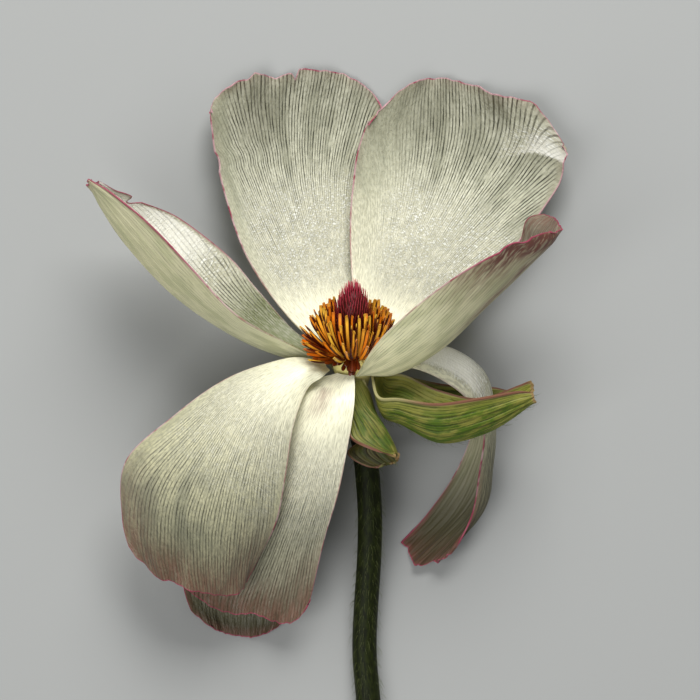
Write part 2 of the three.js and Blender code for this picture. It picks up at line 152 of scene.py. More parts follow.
print("the table's grey in linear numbers:", [round(c, 3) for c in linear("#8c8d8b")])


# %% How every material starts and ends
def new_material(name):
    material = bpy.data.materials.new(name)
    material.use_nodes = True
    material.node_tree.nodes.clear()
    return material


def add_surface(tree, coat, through=0.0):
    """Ends a finish with its shader, through which a share of the light may pass."""
    surface = add_node(tree, "ShaderNodeBsdfPrincipled", coat)
    if through:
        passing = {"Color": coat["Base Color"], "Normal": coat["Normal"]}
        lit = add_node(tree, "ShaderNodeBsdfTranslucent", passing)
        surface = add_node(tree, "ShaderNodeMixShader", {0: through, 1: surface, 2: lit})
    add_node(tree, "ShaderNodeOutputMaterial", {"Surface": surface})


# Matt grey paper shows the flower's soft shadow and gives no glare
paper = new_material("table_matt_paper")
add_surface(paper.node_tree, {"Base Color": "#8c8d8b", "Roughness": 0.85})
print("nodes of the table's paper:", len(paper.node_tree.nodes))


# %% The table, the lamps and the sky
def deselect_all():
    if bpy.context.object and bpy.context.object.mode != "OBJECT":
        bpy.ops.object.mode_set(mode="OBJECT")
    bpy.ops.object.select_all(action="DESELECT")


TABLE_SIZE = 3  # in metres, as the lamps' places and sizes are


def add_lamp(name, place, size, power):
    bpy.ops.object.light_add(type="AREA", location=place)
    lamp = bpy.context.object
    lamp.name = name
    lamp.data.size = size
    lamp.data.energy = power
    towards = Vector(in_metres(PICTURE_MIDDLE)) - lamp.location
    lamp.rotation_euler = towards.to_track_quat("-Z", "Y").to_euler()


deselect_all()
bpy.ops.mesh.primitive_plane_add(size=TABLE_SIZE)
table = bpy.context.object
table.name = "table"
table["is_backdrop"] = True
table.data.materials.append(paper)

add_lamp("lamp_beyond", place=(0.10, 0.62, 0.55), size=0.45, power=9.8)
add_lamp("lamp_near", place=(-0.35, -0.25, 0.75), size=0.6, power=5.2)
sky = bpy.data.worlds.new("soft_sky")
sky.use_nodes = True
sky.node_tree.nodes["Background"].inputs["Color"].default_value = linear("#e9ecef")
sky.node_tree.nodes["Background"].inputs["Strength"].default_value = 0.35
bpy.context.scene.world = sky
bpy.context.scene.view_settings.view_transform = "Standard"

# %% [markdown]
# # What a blade is
#
# Petals and sepals are blades: thin sheets that start at a narrow foot on the head, widen
# and curl. Each could be sculpted from a plane by hand, but thirteen curled sheets that
# must stay clear of each other are easier to steer by ribs, as a boat is. A rib is three
# points across the blade: left margin, middle and right margin. Smooth lines run through
# the ribs, and a grid is laid on them. Its margin then gets its rounding, its notches and
# its ruffle. These are the same ribs that the solid model has.


# %% A smooth line, and a blade's surface
def smooth_line(points, share):
    """Points on the smooth line through some points, at shares from 0 to 1 of its length."""
    ends = [2 * points[0] - points[1]], [2 * points[-1] - points[-2]]
    padded = np.concatenate([ends[0], points, ends[1]])
    place = share * (len(points) - 1)
    first = np.clip(np.floor(place).astype(int), 0, len(points) - 2)
    w = (place - first)[..., None]
    before, start, end, after = (padded[first + k] for k in range(4))
    leave = 0.5 * (end - before)
    arrive = 0.5 * (after - start)
    cubic = 2 * start - 2 * end + leave + arrive
    square = -3 * start + 3 * end - 2 * leave - arrive
    return ((cubic * w + square) * w + leave) * w + start


def outline_cut(blade, t):
    """The share that a blade falls short of its last rib by, at t across it from -1 to 1."""
    middles = np.array([rib[1] for rib in blade["ribs"]])
    reach = (len(middles) - 1) * np.linalg.norm(middles[-1] - middles[-2])
    places, shortfalls = np.array(blade["tip"]).T
    fringe = 0.06 * np.sin(31 * t + blade["phase"]) + 0.04 * np.sin(53 * t)
    return (np.interp(t, places, shortfalls) + fringe) / reach


def smooth_blade(blade, s, t):
    """The blade without its ruffle, at s along it from 0 to 1 and t across it from -1 to 1."""
    ribs = np.array(blade["ribs"], dtype=float)
    u = s * (1 - outline_cut(blade, t) * s**8)
    left, middle, right = (smooth_line(ribs[:, i], u) for i in range(3))
    bow = (left + right) / 2 - middle
    return middle + (right - left) * t[..., None] / 2 + bow * t[..., None] ** 2


# %% Which way a blade faces
def smooth_step(value, low, high):
    w = np.clip((value - low) / (high - low), 0, 1)
    return w * w * (3 - 2 * w)


def unit(vectors):
    return vectors / np.linalg.norm(vectors, axis=-1, keepdims=True)


def blade_normal(blade, s, t):
    step = 0.01
    along = smooth_blade(blade, np.minimum(s + step, 1), t)
    along = along - smooth_blade(blade, np.maximum(s - step, 0), t)
    across = smooth_blade(blade, s, t + step) - smooth_blade(blade, s, t - step)
    return unit(np.cross(across, along))


print("halfway, a smooth step reaches", smooth_step(0.5, 0, 1))


# %% The ruffled surface, with its nicks, its fold and its pleats
def nicked(blade, s, t):
    """t, drawn in at each nick of a blade's margin, or pushed out where a nick is negative."""
    for side, place, reach, depth in blade["nicks"]:
        near = np.clip(1 - ((s - place) / reach) ** 2, 0, 1)
        t = t * (1 - depth * near * (side * t > 0))
    return t


def vein_place(blade, s, t):
    """A number that stays the same along a vein. Veins fan out and end in the side margins."""
    left, right = blade["fan"]
    return t * (1 - np.where(t < 0, left, right) * smooth_step(s, 0.2, 1.1))


def fold_height(blade, s, t):
    """A crease that rises towards the right margin, steep below its ridge."""
    middle, slope, start, end, rise = blade["fold"]
    tent = np.interp(s - middle - slope * t, (-0.09, 0, 0.13), (0, 1, 0))
    return rise * tent**1.2 * smooth_step(t, start, end)


def blade_point(blade, s, t):
    """The blade with its nicks, its ruffled margin, its fold and pleats along its veins."""
    t = nicked(blade, s, t)
    edge = s * np.maximum(s**7, 0.5 * t**8)  # ruffled at the tip and half as much at the sides
    waves, phase = blade["waves"], blade["phase"]
    wave = np.sin(waves * (t + 1.7 * s) + phase) + 0.5 * np.sin(2.3 * waves * (t - s))
    fine = 0.25 * np.sin(5.1 * waves * (t + 0.8 * s) + 2 * phase)
    height = blade["ruffle"] * edge * (wave + fine)
    vein = vein_place(blade, s, t)
    pleats = np.sin(math.pi * blade["pleats"] * vein + 3 * np.sin(2.2 * vein + phase))
    height = height + blade["pleat_depth"] * np.clip(s - 0.2, 0, 0.5) * 2 * pleats
    height = height + fold_height(blade, s, t)
    normal = blade_normal(blade, s, t)
    return smooth_blade(blade, s, t) + height[..., None] * normal


print("smooth line midpoint:", smooth_line(np.array([[0.0, 0, 0], [1, 1, 0], [2, 0, 0]]), np.array(0.5)))

# %% [markdown]
# # The ribs of the eight petals
#
# Each petal's foot hugs the head, so its first rib comes from the petal's place round the
# head. The other ribs are in millimetres from the bloom's own middle.

# %% The hind petals, seen from their inner faces
CLAW_RADIUS = 4.15
CLAW_HALF_ANGLE = 15
SEPAL_RADIUS = 3.7
HIGH_SEPAL_RADIUS = 3.95  # of the two sepals that grow higher up the receptacle
SEPAL_HALF_ANGLE = 21


def foot(azimuth, half_angle, radius, along):
    """The short rib at a blade's foot, which hugs the head."""
    return [on_head(azimuth + turn, radius, along) for turn in (-half_angle, 0, half_angle)]


def petal_foot(azimuth, along=-1.5):
    return foot(azimuth, CLAW_HALF_ANGLE, CLAW_RADIUS, along)


def sepal_foot(azimuth, along=-4):
    return foot(azimuth, SEPAL_HALF_ANGLE, SEPAL_RADIUS, along)


petals = {}
petals["petal_hind_left"] = {
    "ribs": [
        petal_foot(252),
        [[-9.5, 8.2, 12.5], [-3.2, 11, 9], [1.2, 11.5, 8.4]],
        [[-17.5, 19.3, 9], [-6.8, 22.5, 4], [2.4, 23, 3]],
        [[-22, 32, 6.5], [-9.5, 34, 0.5], [4, 34, 1]],
        [[-23.9, 42, 5.5], [-10, 44, 0.1], [5.4, 42.5, 0.8]],
        [[-23.7, 49.4, 5], [-9.2, 52.6, 1.6], [5.6, 49.2, 1.2]],
    ],
    "tip": [[-1, 6], [-0.96, 3.1], [-0.82, 1.6], [-0.69, 1], [-0.59, 1.1], [-0.5, 0.2], [-0.37, 0.9],
        [-0.24, 2], [-0.09, 1], [-0.05, 1.1], [0.01, 2.4], [0.02, 0.2], [0.2, 0.2], [0.36, 0],
        [0.54, 0.1], [0.72, 0.7], [0.87, 1.8], [0.99, 4.4], [1, 5]],
    "ruffle": 0.5, "waves": 7, "phase": 0.4,
}
petals["petal_hind_right"] = {
    "ribs": [
        petal_foot(298),
        [[0.8, 11, 10.6], [7, 10.5, 9.5], [12.5, 6.3, 12.5]],
        [[0, 21.8, 6.4], [12.5, 21.5, 4.5], [21, 13.5, 10.5]],
        [[0.4, 32, 4.6], [17.5, 31, 1], [30, 23.5, 8]],
        [[2.1, 40.3, 4.4], [21, 40.5, 0], [36.9, 34.4, 7]],
        [[7.4, 50.8, 4.6], [20.8, 50, 1.4], [37.2, 44, 6.8]],
    ],
    "tip": [[-1, 7.4], [-0.98, 6.3], [-0.9, 4], [-0.85, 2.3], [-0.75, 1.3], [-0.65, 0.6], [-0.42, 0.3],
        [-0.29, 0], [-0.07, 0.4], [0.13, 0.3], [0.24, 0.9], [0.37, 0.7], [0.51, 0.4], [0.64, 0],
        [0.7, 0.4], [0.79, 2.1], [0.83, 3.5], [0.89, 4.8], [0.97, 6], [1, 7]],
    "ruffle": 0.55, "waves": 6, "phase": 2.1,
}
print("hind petals:", len(petals))

# %% The two boats at the sides
petals["petal_left"] = {
    "ribs": [
        petal_foot(204),
        [[-10.5, 4.9, 20], [-11, 2.6, 15.5], [-9.5, 7, 11.5]],
        [[-19, 9.6, 24.5], [-20, 6.6, 15], [-15.8, 14, 9.5]],
        [[-26.5, 17.2, 27], [-29.5, 13, 15.5], [-21, 20, 9]],
        [[-34.1, 25.2, 26], [-37.3, 21, 16.5], [-29.5, 26.5, 10]],
        [[-39.5, 29.8, 24.5], [-42, 27.4, 18.5], [-36.6, 29.4, 14]],
        [[-44, 32.9, 23], [-44.2, 31.9, 21], [-42.8, 32.4, 19]],
    ],
    "tip": [[-1, 0], [1, 0]], "ruffle": 0.5, "waves": 5, "phase": 1.3,
}
petals["petal_front_right"] = {
    "ribs": [
        foot(63, 20, CLAW_RADIUS, -1.6),
        [[9, 5.5, 18], [8, -0.2, 21], [4.9, 5.3, 26.5]],
        [[15.5, 11, 16.5], [15.6, 4.1, 22.5], [11.9, 11.7, 31]],
        [[22, 17.5, 15], [23, 11.1, 24], [19.7, 17.3, 34.5]],
        [[28.4, 21.2, 18], [30, 17.8, 26], [27.4, 21.3, 34.5]],
        [[30, 25.9, 22], [33.8, 21.8, 27.5], [32.3, 23.3, 32.5]],
        [[33.1, 26.9, 24], [35.4, 25, 27.5], [34.2, 23.2, 31]],
    ],
    "tip": [[-1, 0.4], [-0.6, 0], [1, 0.3]], "ruffle": 0.25, "waves": 5, "phase": 0.7,
}
print("with the boats:", len(petals))

# %% The three drooping petals and the curled one
petals["petal_low_outer"] = {
    "ribs": [
        foot(161, CLAW_HALF_ANGLE, CLAW_RADIUS + 0.6, -1.2),
        [[-4.8, -0.9, 22.4], [-6.4, 1, 22.3], [-7.2, 2.3, 19.6]],
        [[-7.3, -2.9, 23.2], [-9.8, -0.3, 23.8], [-11.8, 2.1, 19.5]],
        [[-9.6, -9, 25.5], [-16.5, -5.5, 27.5], [-20.5, -1, 20.5]],
        [[-11, -17.5, 23], [-22, -14.5, 27], [-29.6, -7.3, 19]],
        [[-12.8, -26, 18], [-25.5, -24, 22.5], [-38, -15, 15.5]],
        [[-15.8, -32.5, 13.5], [-26, -32, 17], [-39, -24.8, 12.5]],
        [[-18, -37.4, 10.5], [-25.5, -38.5, 13], [-37.3, -32.2, 11.5]],
    ],
    "tip": [[-1, 2.1], [-0.97, 1.9], [-0.73, 1.6], [-0.52, 0.8], [-0.27, 1], [-0.03, 0.7], [0.17, 1],
        [0.32, 1.4], [0.49, 0.9], [0.61, 0], [0.7, 0], [0.83, 0.5], [0.95, 0.8], [1, 2.4]],
    "ruffle": 0.5, "waves": 6, "phase": 1.9,
}
petals["petal_low_middle"] = {
    "ribs": [
        foot(108, 21, CLAW_RADIUS, -1.5),
        [[0.8, -2.7, 22.2], [-2.6, -2.4, 21.6], [-6.2, -1.5, 19.2]],
        [[0.6, -6, 23.5], [-3.8, -5.6, 23.4], [-9.2, -4.2, 21]],
        [[-0.2, -11.2, 22.5], [-6.5, -12.5, 22.5], [-13, -11.5, 19.5]],
        [[-2, -20.5, 19.5], [-10, -22, 18], [-19, -20, 14]],
        [[-4.6, -29.5, 13], [-13.5, -31, 10], [-23, -29, 8]],
        [[-6.6, -38.2, 8], [-16.5, -38.8, 6.5], [-27.6, -34.6, 6.5]],
        [[-8.1, -43.7, 6.5], [-17.2, -42.9, 5], [-27.7, -38.8, 5.5]],
    ],
    "tip": [[-1, 3.7], [-0.95, 2.3], [-0.88, 1.2], [-0.73, 0.6], [-0.54, 0.3], [-0.35, 0.7], [-0.16, 1.4],
        [0.02, 1.6], [0.25, 0.6], [0.5, 0], [0.67, 0.1], [0.83, 0.5], [0.98, 1.1], [1, 1.2]],
    "ruffle": 0.35, "waves": 6, "phase": 3.1,
}
petals["petal_low_inner"] = {
    "ribs": [
        petal_foot(131, -2.9),
        [[-3.5, -7, 19.5], [-6.5, -6.5, 19.5], [-9.5, -5, 17.5]],
        [[-4, -14, 17.5], [-10, -14.5, 17], [-16, -12, 14.5]],
        [[-6, -24, 12], [-14, -25, 10.5], [-23, -21, 9.5]],
        [[-8, -34, 5.5], [-17.5, -35, 3.5], [-28, -30.5, 5]],
        [[-10, -40, 3], [-19, -41, 0.9], [-28.8, -37, 3]],
        [[-12, -43.9, 1.6], [-19, -45.9, 0], [-27, -42.4, 1.4]],
    ],
    "tip": [[-1, 0.6], [-0.7, 0], [0.5, 0], [0.8, 0.4], [1, 1]], "ruffle": 0.4, "waves": 6, "phase": 0.2,
}
petals["petal_curled"] = {
    "ribs": [
        petal_foot(350),
        [[11.5, 1.3, 12.5], [11.5, 4, 14], [11, 0.6, 17]],
        [[17, -0.9, 9], [17.5, 3.9, 12.5], [16.2, -1.7, 15]],
        [[20.5, -4.5, 6.5], [23.3, -0.6, 10.5], [20.2, -5, 13.5]],
        [[21.2, -9.5, 4], [24.8, -8.5, 8.5], [22.8, -10, 12]],
        [[18.5, -17, 2], [24.3, -16, 6.5], [22.2, -17.5, 10]],
        [[13.5, -24.5, 0.4], [22.2, -23.5, 4.4], [20.9, -24.8, 7.4]],
        [[8.6, -29.8, 0.2], [12.6, -34, 2], [17.6, -30.9, 5]],
    ],
    "tip": [[-1, 0.6], [-0.84, 1.4], [-0.63, 0.6], [-0.29, 0], [-0.1, 0.6], [0, 1.2], [0.07, 2],
        [0.35, 1.2], [0.67, 0.5], [1, 0]],
    "ruffle": 0.4, "waves": 7, "phase": 1.1,
}
print("petals:", len(petals))

# %% [markdown]
# # Laying a grid on a blade
#
# A grid primitive keeps its rows and columns in order, so its vertices can be moved on to
# the blade one for one, and Solidify then gives the sheet its thickness. Attributes go on
# the vertices for the finishes to read. One says in millimetres how far across and along
# the blade a place is and how near the margin. The others say how far a petal is veined,
# flushed, wilted, frosted, yellowed or sage green there, or a sepal pale, pink or dry. Frost
# above 1 is a painted glare highlight, and sage at a petal's foot is painted shade.


# %% Distances over a blade, in millimetres
def blade_distances(points, veins):
    """How far across the veins and along them each point lies, and how far from a margin."""
    steps_across = np.linalg.norm(np.diff(points, axis=1), axis=-1)
    steps_along = np.linalg.norm(np.diff(points, axis=0), axis=-1)
    from_left = np.pad(np.cumsum(steps_across, axis=1), ((0, 0), (1, 0)))
    from_right = from_left[:, -1:] - from_left
    from_foot = np.pad(np.cumsum(steps_along, axis=0), ((1, 0), (0, 0)))
    from_tip = from_foot[-1:] - from_foot
    across = from_left[:, -1].max() * (1 + veins) / 2
    margin = np.minimum(np.minimum(from_left, from_right), from_tip)
    return np.stack([across, from_foot, margin], axis=-1)


def write_attribute(mesh, name, values):
    attribute = mesh.attributes.new(name, "FLOAT_VECTOR", "POINT")
    attribute.data.foreach_set("vector", np.ascontiguousarray(values, dtype=np.float32).ravel())


x, y = np.meshgrid(np.arange(11.0), np.arange(11.0))
flat_sheet = np.stack([x, y, 0 * x], axis=-1)
print("in the middle of a sheet of 10 mm:", blade_distances(flat_sheet, x / 5 - 1)[5, 5])


# %% A blade as a finished piece
CREASE = math.radians(50)  # edges sharper than this stay sharp
LOWEST = 0.55  # how high over the table a blade's middle stays, as a share of its thickness


def lay_blade(name, blade, grid, thickness, marks, skins):
    """A grid laid on a blade, with marks for its finish, thickness and a skin on each face."""
    rows, columns = grid
    deselect_all()
    bpy.ops.mesh.primitive_grid_add(x_subdivisions=columns, y_subdivisions=rows, size=2)
    piece = bpy.context.object
    piece.name = name
    piece.data.name = name
    flat = np.empty(3 * len(piece.data.vertices))
    piece.data.vertices.foreach_get("co", flat)
    flat = flat.reshape(rows + 1, columns + 1, 3)
    s = (flat[..., 1] + 1) / 2
    t = flat[..., 0]
    points = blade_point(blade, s, t)
    points[..., 2] = np.maximum(points[..., 2], LOWEST * thickness)
    distances = blade_distances(points, vein_place(blade, s, t))
    piece.data.vertices.foreach_set("co", in_metres(points).ravel())
    write_attribute(piece.data, "skin_mm", distances)
    for attribute, values in marks(blade, s, t, distances).items():
        write_attribute(piece.data, attribute, np.stack(values, axis=-1))
    for skin in skins:
        piece.data.materials.append(skin)
    bpy.ops.object.modifier_add(type="SOLIDIFY")
    shell = piece.modifiers[-1]
    shell.thickness = thickness * MM
    shell.offset = 0
    shell.material_offset = 1
    bpy.ops.object.modifier_apply(modifier=shell.name)
    bpy.ops.object.shade_smooth_by_angle(angle=CREASE)
    return piece


def keep_off_table(piece):
    """Presses flat whatever dips under the table."""
    for vertex in piece.data.vertices:
        vertex.co.z = max(vertex.co.z, 0)


def hand_over(piece, node):
    """The piece stands in for a solid node and moves with the flower."""
    keep_off_table(piece)
    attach(piece, "root")
    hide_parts(node)
    print(node, "faces:", len(piece.data.polygons))


print("edges stay sharp beyond", round(math.degrees(CREASE)), "degrees")

# %% [markdown]
# # The petals' skin
#
# A petal is living tissue a quarter of a millimetre thick. Its inner face is nearly white
# at the foot and greys outwards, partly its own tone and partly a painted glow at the foot.
# Tiny crinkles frost its middle, with painted glints and here and there a painted glare,
# and dark furrows run between the veins that fan out to its margin, partly the veins' own
# tone and partly painted shade. Its outer face is a duller sage green.
# The margin ends in a thin line, crimson here and lilac there. The furrows are a wave
# pattern on the blade's own millimetres, broken up by noise, and they drive both colour
# and bump.

# %% What the finishes read from a blade
COLOURS = {"data_type": "RGBA"}
SHARE, UNDER, OVER = 0, 6, 7  # the sockets of a mix of two colours
SOFT = {"interpolation_type": "SMOOTHSTEP"}
FLAT = {"noise_dimensions": "2D"}
TIMES = {"operation": "MULTIPLY"}
LESS = {"operation": "SUBTRACT"}
LARGER = {"operation": "MAXIMUM"}
PETAL_MARKS = {
    "skin_mm": ("across", "along", "margin"),
    "tint": ("veins", "flush", "wilt"),
    "tone": ("frost", "yellow", "sage"),
}


def read_marks(tree, attributes):
    """What lay_blade wrote on a blade's vertices, as one socket for each name."""
    marks = {}
    for attribute, names in attributes.items():
        read = add_node(tree, "ShaderNodeAttribute", {}, attribute_name=attribute)
        marks[attribute] = read.outputs["Vector"]
        apart = add_node(tree, "ShaderNodeSeparateXYZ", {"Vector": marks[attribute]})
        marks.update(zip(names, apart.outputs))
    return marks


print("a petal's marks:", sum(PETAL_MARKS.values(), ()))

# %% Patches and furrows
VEIN_SPACING = 0.5  # mm between furrows where the petal is widest
WAVE_PERIOD = 2 * math.pi / 20  # the wave texture's own period at scale 1


def mottle(tree, skin, stretch, per_mm, shows, detail=3.0, roughness=0.5, distortion=0.0):
    """Soft patches, stretched across and along, so many to a millimetre.

    shows holds two levels of the noise and the shares to which they turn.
    """
    low, high, least, most = shows
    drawn = add_node(tree, "ShaderNodeMapping", {"Vector": skin, "Scale": (*stretch, 0)})
    noise = {"Vector": drawn, "Scale": per_mm, "Detail": detail}
    noise.update({"Roughness": roughness, "Distortion": distortion})
    cloud = add_node(tree, "ShaderNodeTexNoise", noise, **FLAT)
    levels = {"Value": cloud, "From Min": low, "From Max": high, "To Min": least, "To Max": most}
    return add_node(tree, "ShaderNodeMapRange", levels, **SOFT)


def add_furrows(tree, skin, spacing):
    """Dark lines along a blade, from 0 between them to 1 in the deepest places; as colour, partly painted
    shade.
    """
    drawn = add_node(tree, "ShaderNodeMapping", {"Vector": skin, "Scale": (1, 0.14, 0)})
    wave = {"Vector": drawn, "Scale": WAVE_PERIOD / spacing, "Distortion": 4.0}
    wave.update({"Detail": 3.0, "Detail Scale": 1.2})
    lines = add_node(tree, "ShaderNodeTexWave", wave, wave_type="BANDS", bands_direction="X")
    deepest = {"Value": lines, "From Min": 0.62, "From Max": 1.0}
    sharp = add_node(tree, "ShaderNodeMapRange", deepest, **SOFT)
    dashes = add_node(tree, "ShaderNodeMapping", {"Vector": skin, "Scale": (1, 0.22, 0)})
    noise = {"Vector": dashes, "Scale": 1.1, "Detail": 4.0, "Roughness": 0.65}
    broken = add_node(tree, "ShaderNodeTexNoise", noise, **FLAT)
    levels = {"Value": broken, "From Min": 0.33, "From Max": 0.6, "To Min": 0.2}
    strength = add_node(tree, "ShaderNodeMapRange", levels)
    return add_node(tree, "ShaderNodeMath", {0: sharp, 1: strength}, **TIMES)


def streaked_flush(tree, marks):
    """How flushed a place is, in streaks that fade out along the veins."""
    streaks = mottle(tree, marks["skin_mm"], (1, 0.12), per_mm=2.6, shows=(0.35, 0.62, 0.45, 1))
    return add_node(tree, "ShaderNodeMath", {0: streaks, 1: marks["flush"]}, **TIMES)


print("furrows to a centimetre:", round(10 / VEIN_SPACING))


# %% The margin's line, the bump and the light that passes through
LIGHT_THROUGH = 0.34  # share of the light that a petal lets through


def finish_petal(tree, colour, marks, furrows, relief, gloss):
    """Ends a petal's finish with the line at its margin, its bump and its shader."""
    margin = {"Value": marks["margin"], "From Min": 0.28, "From Max": 0.08}
    margin = add_node(tree, "ShaderNodeMapRange", margin, **SOFT)
    outwards = {"Value": marks["along"], "From Min": 4.0, "From Max": 30.0}
    outwards = add_node(tree, "ShaderNodeMapRange", outwards)
    line = add_node(tree, "ShaderNodeMath", {0: margin, 1: outwards}, **TIMES)

    # The line is lilac, but crimson in patches and wherever the petal is flushed
    crimson = mottle(tree, marks["skin_mm"], (1, 1), per_mm=0.35, shows=(0.44, 0.66, 0, 1), detail=2.0)
    crimson = add_node(tree, "ShaderNodeMath", {0: crimson, 1: marks["flush"]}, **LARGER)
    inks = {SHARE: crimson, UNDER: "#cfaeb0", OVER: "#a04258"}
    ink = add_node(tree, "ShaderNodeMix", inks, **COLOURS)
    colour = add_node(tree, "ShaderNodeMix", {SHARE: line, UNDER: colour, OVER: ink}, **COLOURS)
    height = add_node(tree, "ShaderNodeMath", {0: relief, 1: furrows}, **LESS)
    height = {"Height": height, "Strength": 0.8, "Distance": 0.16 * MM}
    bump = add_node(tree, "ShaderNodeBump", height)
    coat = {"Base Color": colour, "Roughness": gloss, "IOR": 1.4, "Sheen Weight": 0.1, "Normal": bump}
    add_surface(tree, coat, through=LIGHT_THROUGH)


print("light that passes through a petal:", LIGHT_THROUGH)


# %% The inner face
def petal_inner_skin():
    """Satin, nearly white at the foot in a painted glow and greyer outwards, with painted glints and dark
    furrows.
    """
    material = new_material("petal_inner_skin")
    tree = material.node_tree
    marks = read_marks(tree, PETAL_MARKS)
    skin, along, frost = marks["skin_mm"], marks["along"], marks["frost"]

    # Greyer outwards, partly its own tone and partly as a painted glow at the foot fades; in clouds,
    # in tiny wrinkles painted darker as shade, and in streaks too fine to be furrows
    first = {"Value": along, "From Min": 7.0, "From Max": 22.0}
    first = add_node(tree, "ShaderNodeMapRange", first, **SOFT)
    then = {"Value": along, "From Min": 20.0, "From Max": 40.0}
    then = add_node(tree, "ShaderNodeMapRange", then, **SOFT)
    clouds = mottle(tree, skin, (1, 0.25), per_mm=0.4, shows=(0.42, 0.7, 0, 0.6))
    clouds = add_node(tree, "ShaderNodeMath", {0: clouds, 1: then}, **TIMES)
    wrinkles = mottle(tree, skin, (1, 0.35), per_mm=3.0, shows=(0.56, 0.36, 0, 0.4), detail=2.0)
    wrinkles = add_node(tree, "ShaderNodeMath", {0: wrinkles, 1: first}, **TIMES)
    streaks = mottle(tree, skin, (1, 0.25), per_mm=2.6, shows=(0.42, 0.68, 0, 0.5))

    # Crinkles across the veins with painted glints, in patches, and a painted glare highlight
    # where the frost mark runs from 1 to 2
    rough = {"roughness": 0.6, "distortion": 0.6}
    glints = mottle(tree, skin, (1.1, 2.4), per_mm=1.25, shows=(0.42, 0.66, 0, 1), **rough)
    glinting = {SHARE: glints, UNDER: "#cdcab0", OVER: "#fffff4"}
    glinting = add_node(tree, "ShaderNodeMix", glinting, **COLOURS)
    frosted = mottle(tree, skin, (1, 1), per_mm=0.45, shows=(0.35, 0.6, 0.4, 1))
    frosted = add_node(tree, "ShaderNodeMath", {0: frosted, 1: frost}, **TIMES)
    glare = {"Value": frost, "From Min": 1.0, "From Max": 2.0, "To Max": 0.85}
    glare = add_node(tree, "ShaderNodeMapRange", glare)

    furrows = add_furrows(tree, skin, VEIN_SPACING)
    furrows = add_node(tree, "ShaderNodeMath", {0: furrows, 1: marks["veins"]}, **TIMES)
    flush = add_node(tree, "ShaderNodeMath", {0: streaked_flush(tree, marks), 1: 0.6}, **TIMES)

    # Layer over layer, from the cream below to the flush on top. The cream and its fade through
    # the first layers are partly a painted glow at the foot, sage at a foot is painted shade,
    # glinting and glare are painted highlights, and the furrows' dark is partly painted shade
    layers = [
        [first, "#f2eed6"], [then, "#d4d3bc"], [marks["yellow"], "#e0dbae"], [marks["sage"], "#747a48"],
        [clouds, "#8f907a"], [wrinkles, "#999a82"], [streaks, "#b5b39a"], [frosted, glinting],
        [glare, "#fffdf4"], [furrows, "#2e3025"], [marks["wilt"], "#403a1e"], [flush, "#825b4a"],
    ]
    colour = "#fffce0"
    for share, layer in layers:
        colour = add_node(tree, "ShaderNodeMix", {SHARE: share, UNDER: colour, OVER: layer}, **COLOURS)

    # Glints stand out and wrinkles lie deeper, but not where the glare is
    relief = add_node(tree, "ShaderNodeMath", {0: glints, 1: frosted}, **TIMES)
    relief = add_node(tree, "ShaderNodeMath", {0: relief, 1: wrinkles}, **LESS)
    smooth = add_node(tree, "ShaderNodeMath", {0: 1.0, 1: glare}, **LESS)
    relief = add_node(tree, "ShaderNodeMath", {0: relief, 1: smooth}, **TIMES)
    finish_petal(tree, colour, marks, furrows, relief, gloss=0.38)
    return material


petal_skins = [petal_inner_skin()]
print("nodes of the inner skin:", len(petal_skins[0].node_tree.nodes))


# %% The outer face
def petal_outer_skin():
    """Matt, a dull sage cream with soft clouds and faint furrows, darkened partly as painted shade."""
    material = new_material("petal_outer_skin")
    tree = material.node_tree
    marks = read_marks(tree, PETAL_MARKS)
    skin = marks["skin_mm"]
    outwards = {"Value": marks["along"], "From Min": 8.0, "From Max": 36.0}
    outwards = add_node(tree, "ShaderNodeMapRange", outwards, **SOFT)
    clouds = mottle(tree, skin, (1, 0.25), per_mm=0.6, shows=(0.38, 0.68, 0, 0.6), detail=4.0)
    sage = add_node(tree, "ShaderNodeMath", {0: marks["sage"], 1: 0.06}, **TIMES)
    furrows = add_furrows(tree, skin, VEIN_SPACING)
    furrows = add_node(tree, "ShaderNodeMath", {0: furrows, 1: 0.35}, **TIMES)
    layers = [
        [outwards, "#d6d2ae"], [clouds, "#b3b68c"], [sage, "#a3a377"], [furrows, "#77795a"],
        [marks["wilt"], "#403a1e"], [streaked_flush(tree, marks), "#74483c"],
    ]
    colour = "#e6e4c0"
    for share, layer in layers:
        colour = add_node(tree, "ShaderNodeMix", {SHARE: share, UNDER: colour, OVER: layer}, **COLOURS)
    finish_petal(tree, colour, marks, furrows, relief=0.0, gloss=0.5)
    return material


petal_skins.append(petal_outer_skin())
print("nodes of the outer skin:", len(petal_skins[1].node_tree.nodes))

# %% [markdown]
# # The petals
#
# Every petal is laid with the same call. What differs besides the ribs is how it has
# aged: how far its tip is flushed with pink brown or wilted, where it is frosted or
# yellowed, where its margin is nicked and where it is creased, and where a glare highlight
# or shade at its foot is painted on. A petal's own entry gives only what it doesn't share
# with the others.

# %% What blades have in common
COMMON = {
    "calm": (0.1, 0.1),  # share of the width without veins or frost, at the left and the right
    "veined_from": (16, 16, 16),  # mm from the foot to the first veins: left, middle, right
    "veins": 1.0,
    "fan": (0.35, 0.35),  # how far the veins turn out to the left margin and to the right one
    "pleats": 17,
    "pleat_depth": 0.04,
    "nicks": [],  # each a side, a place along the petal, a reach and a depth
    # a fold's height also sets the painted highlight on its lit side
    "fold": (0.5, 0, 0, 1, 0),  # place, slope, start and end across, height in mm
    # frost above 1 turns into a painted glare highlight
    "frost": 1.0,
    "frosted_along": (11, 19, 28, 38),  # mm from the foot: first frost, full, full, last frost
    "flush": 0.3,
    "flush_band": (2.4, 0.45, 0.9),  # mm in from the margin, and along from where to where
    "streak": (0, 1, 0, 1, 2, 0),  # a flushed vein: which, width, start, full, end, strength
    "wilt": 1.0,
    "wilt_from": 0.55,
    "smudge": (0, 0, 1, 1, 0),  # a wilted spot: place and reach along and across, strength
    "yellow": 0.0,
    # the sage at the foot is painted shade
    "sage": (0.1, 0, 0),  # at the margins, at the foot and all over
}
print("traits of a blade:", len(COMMON))
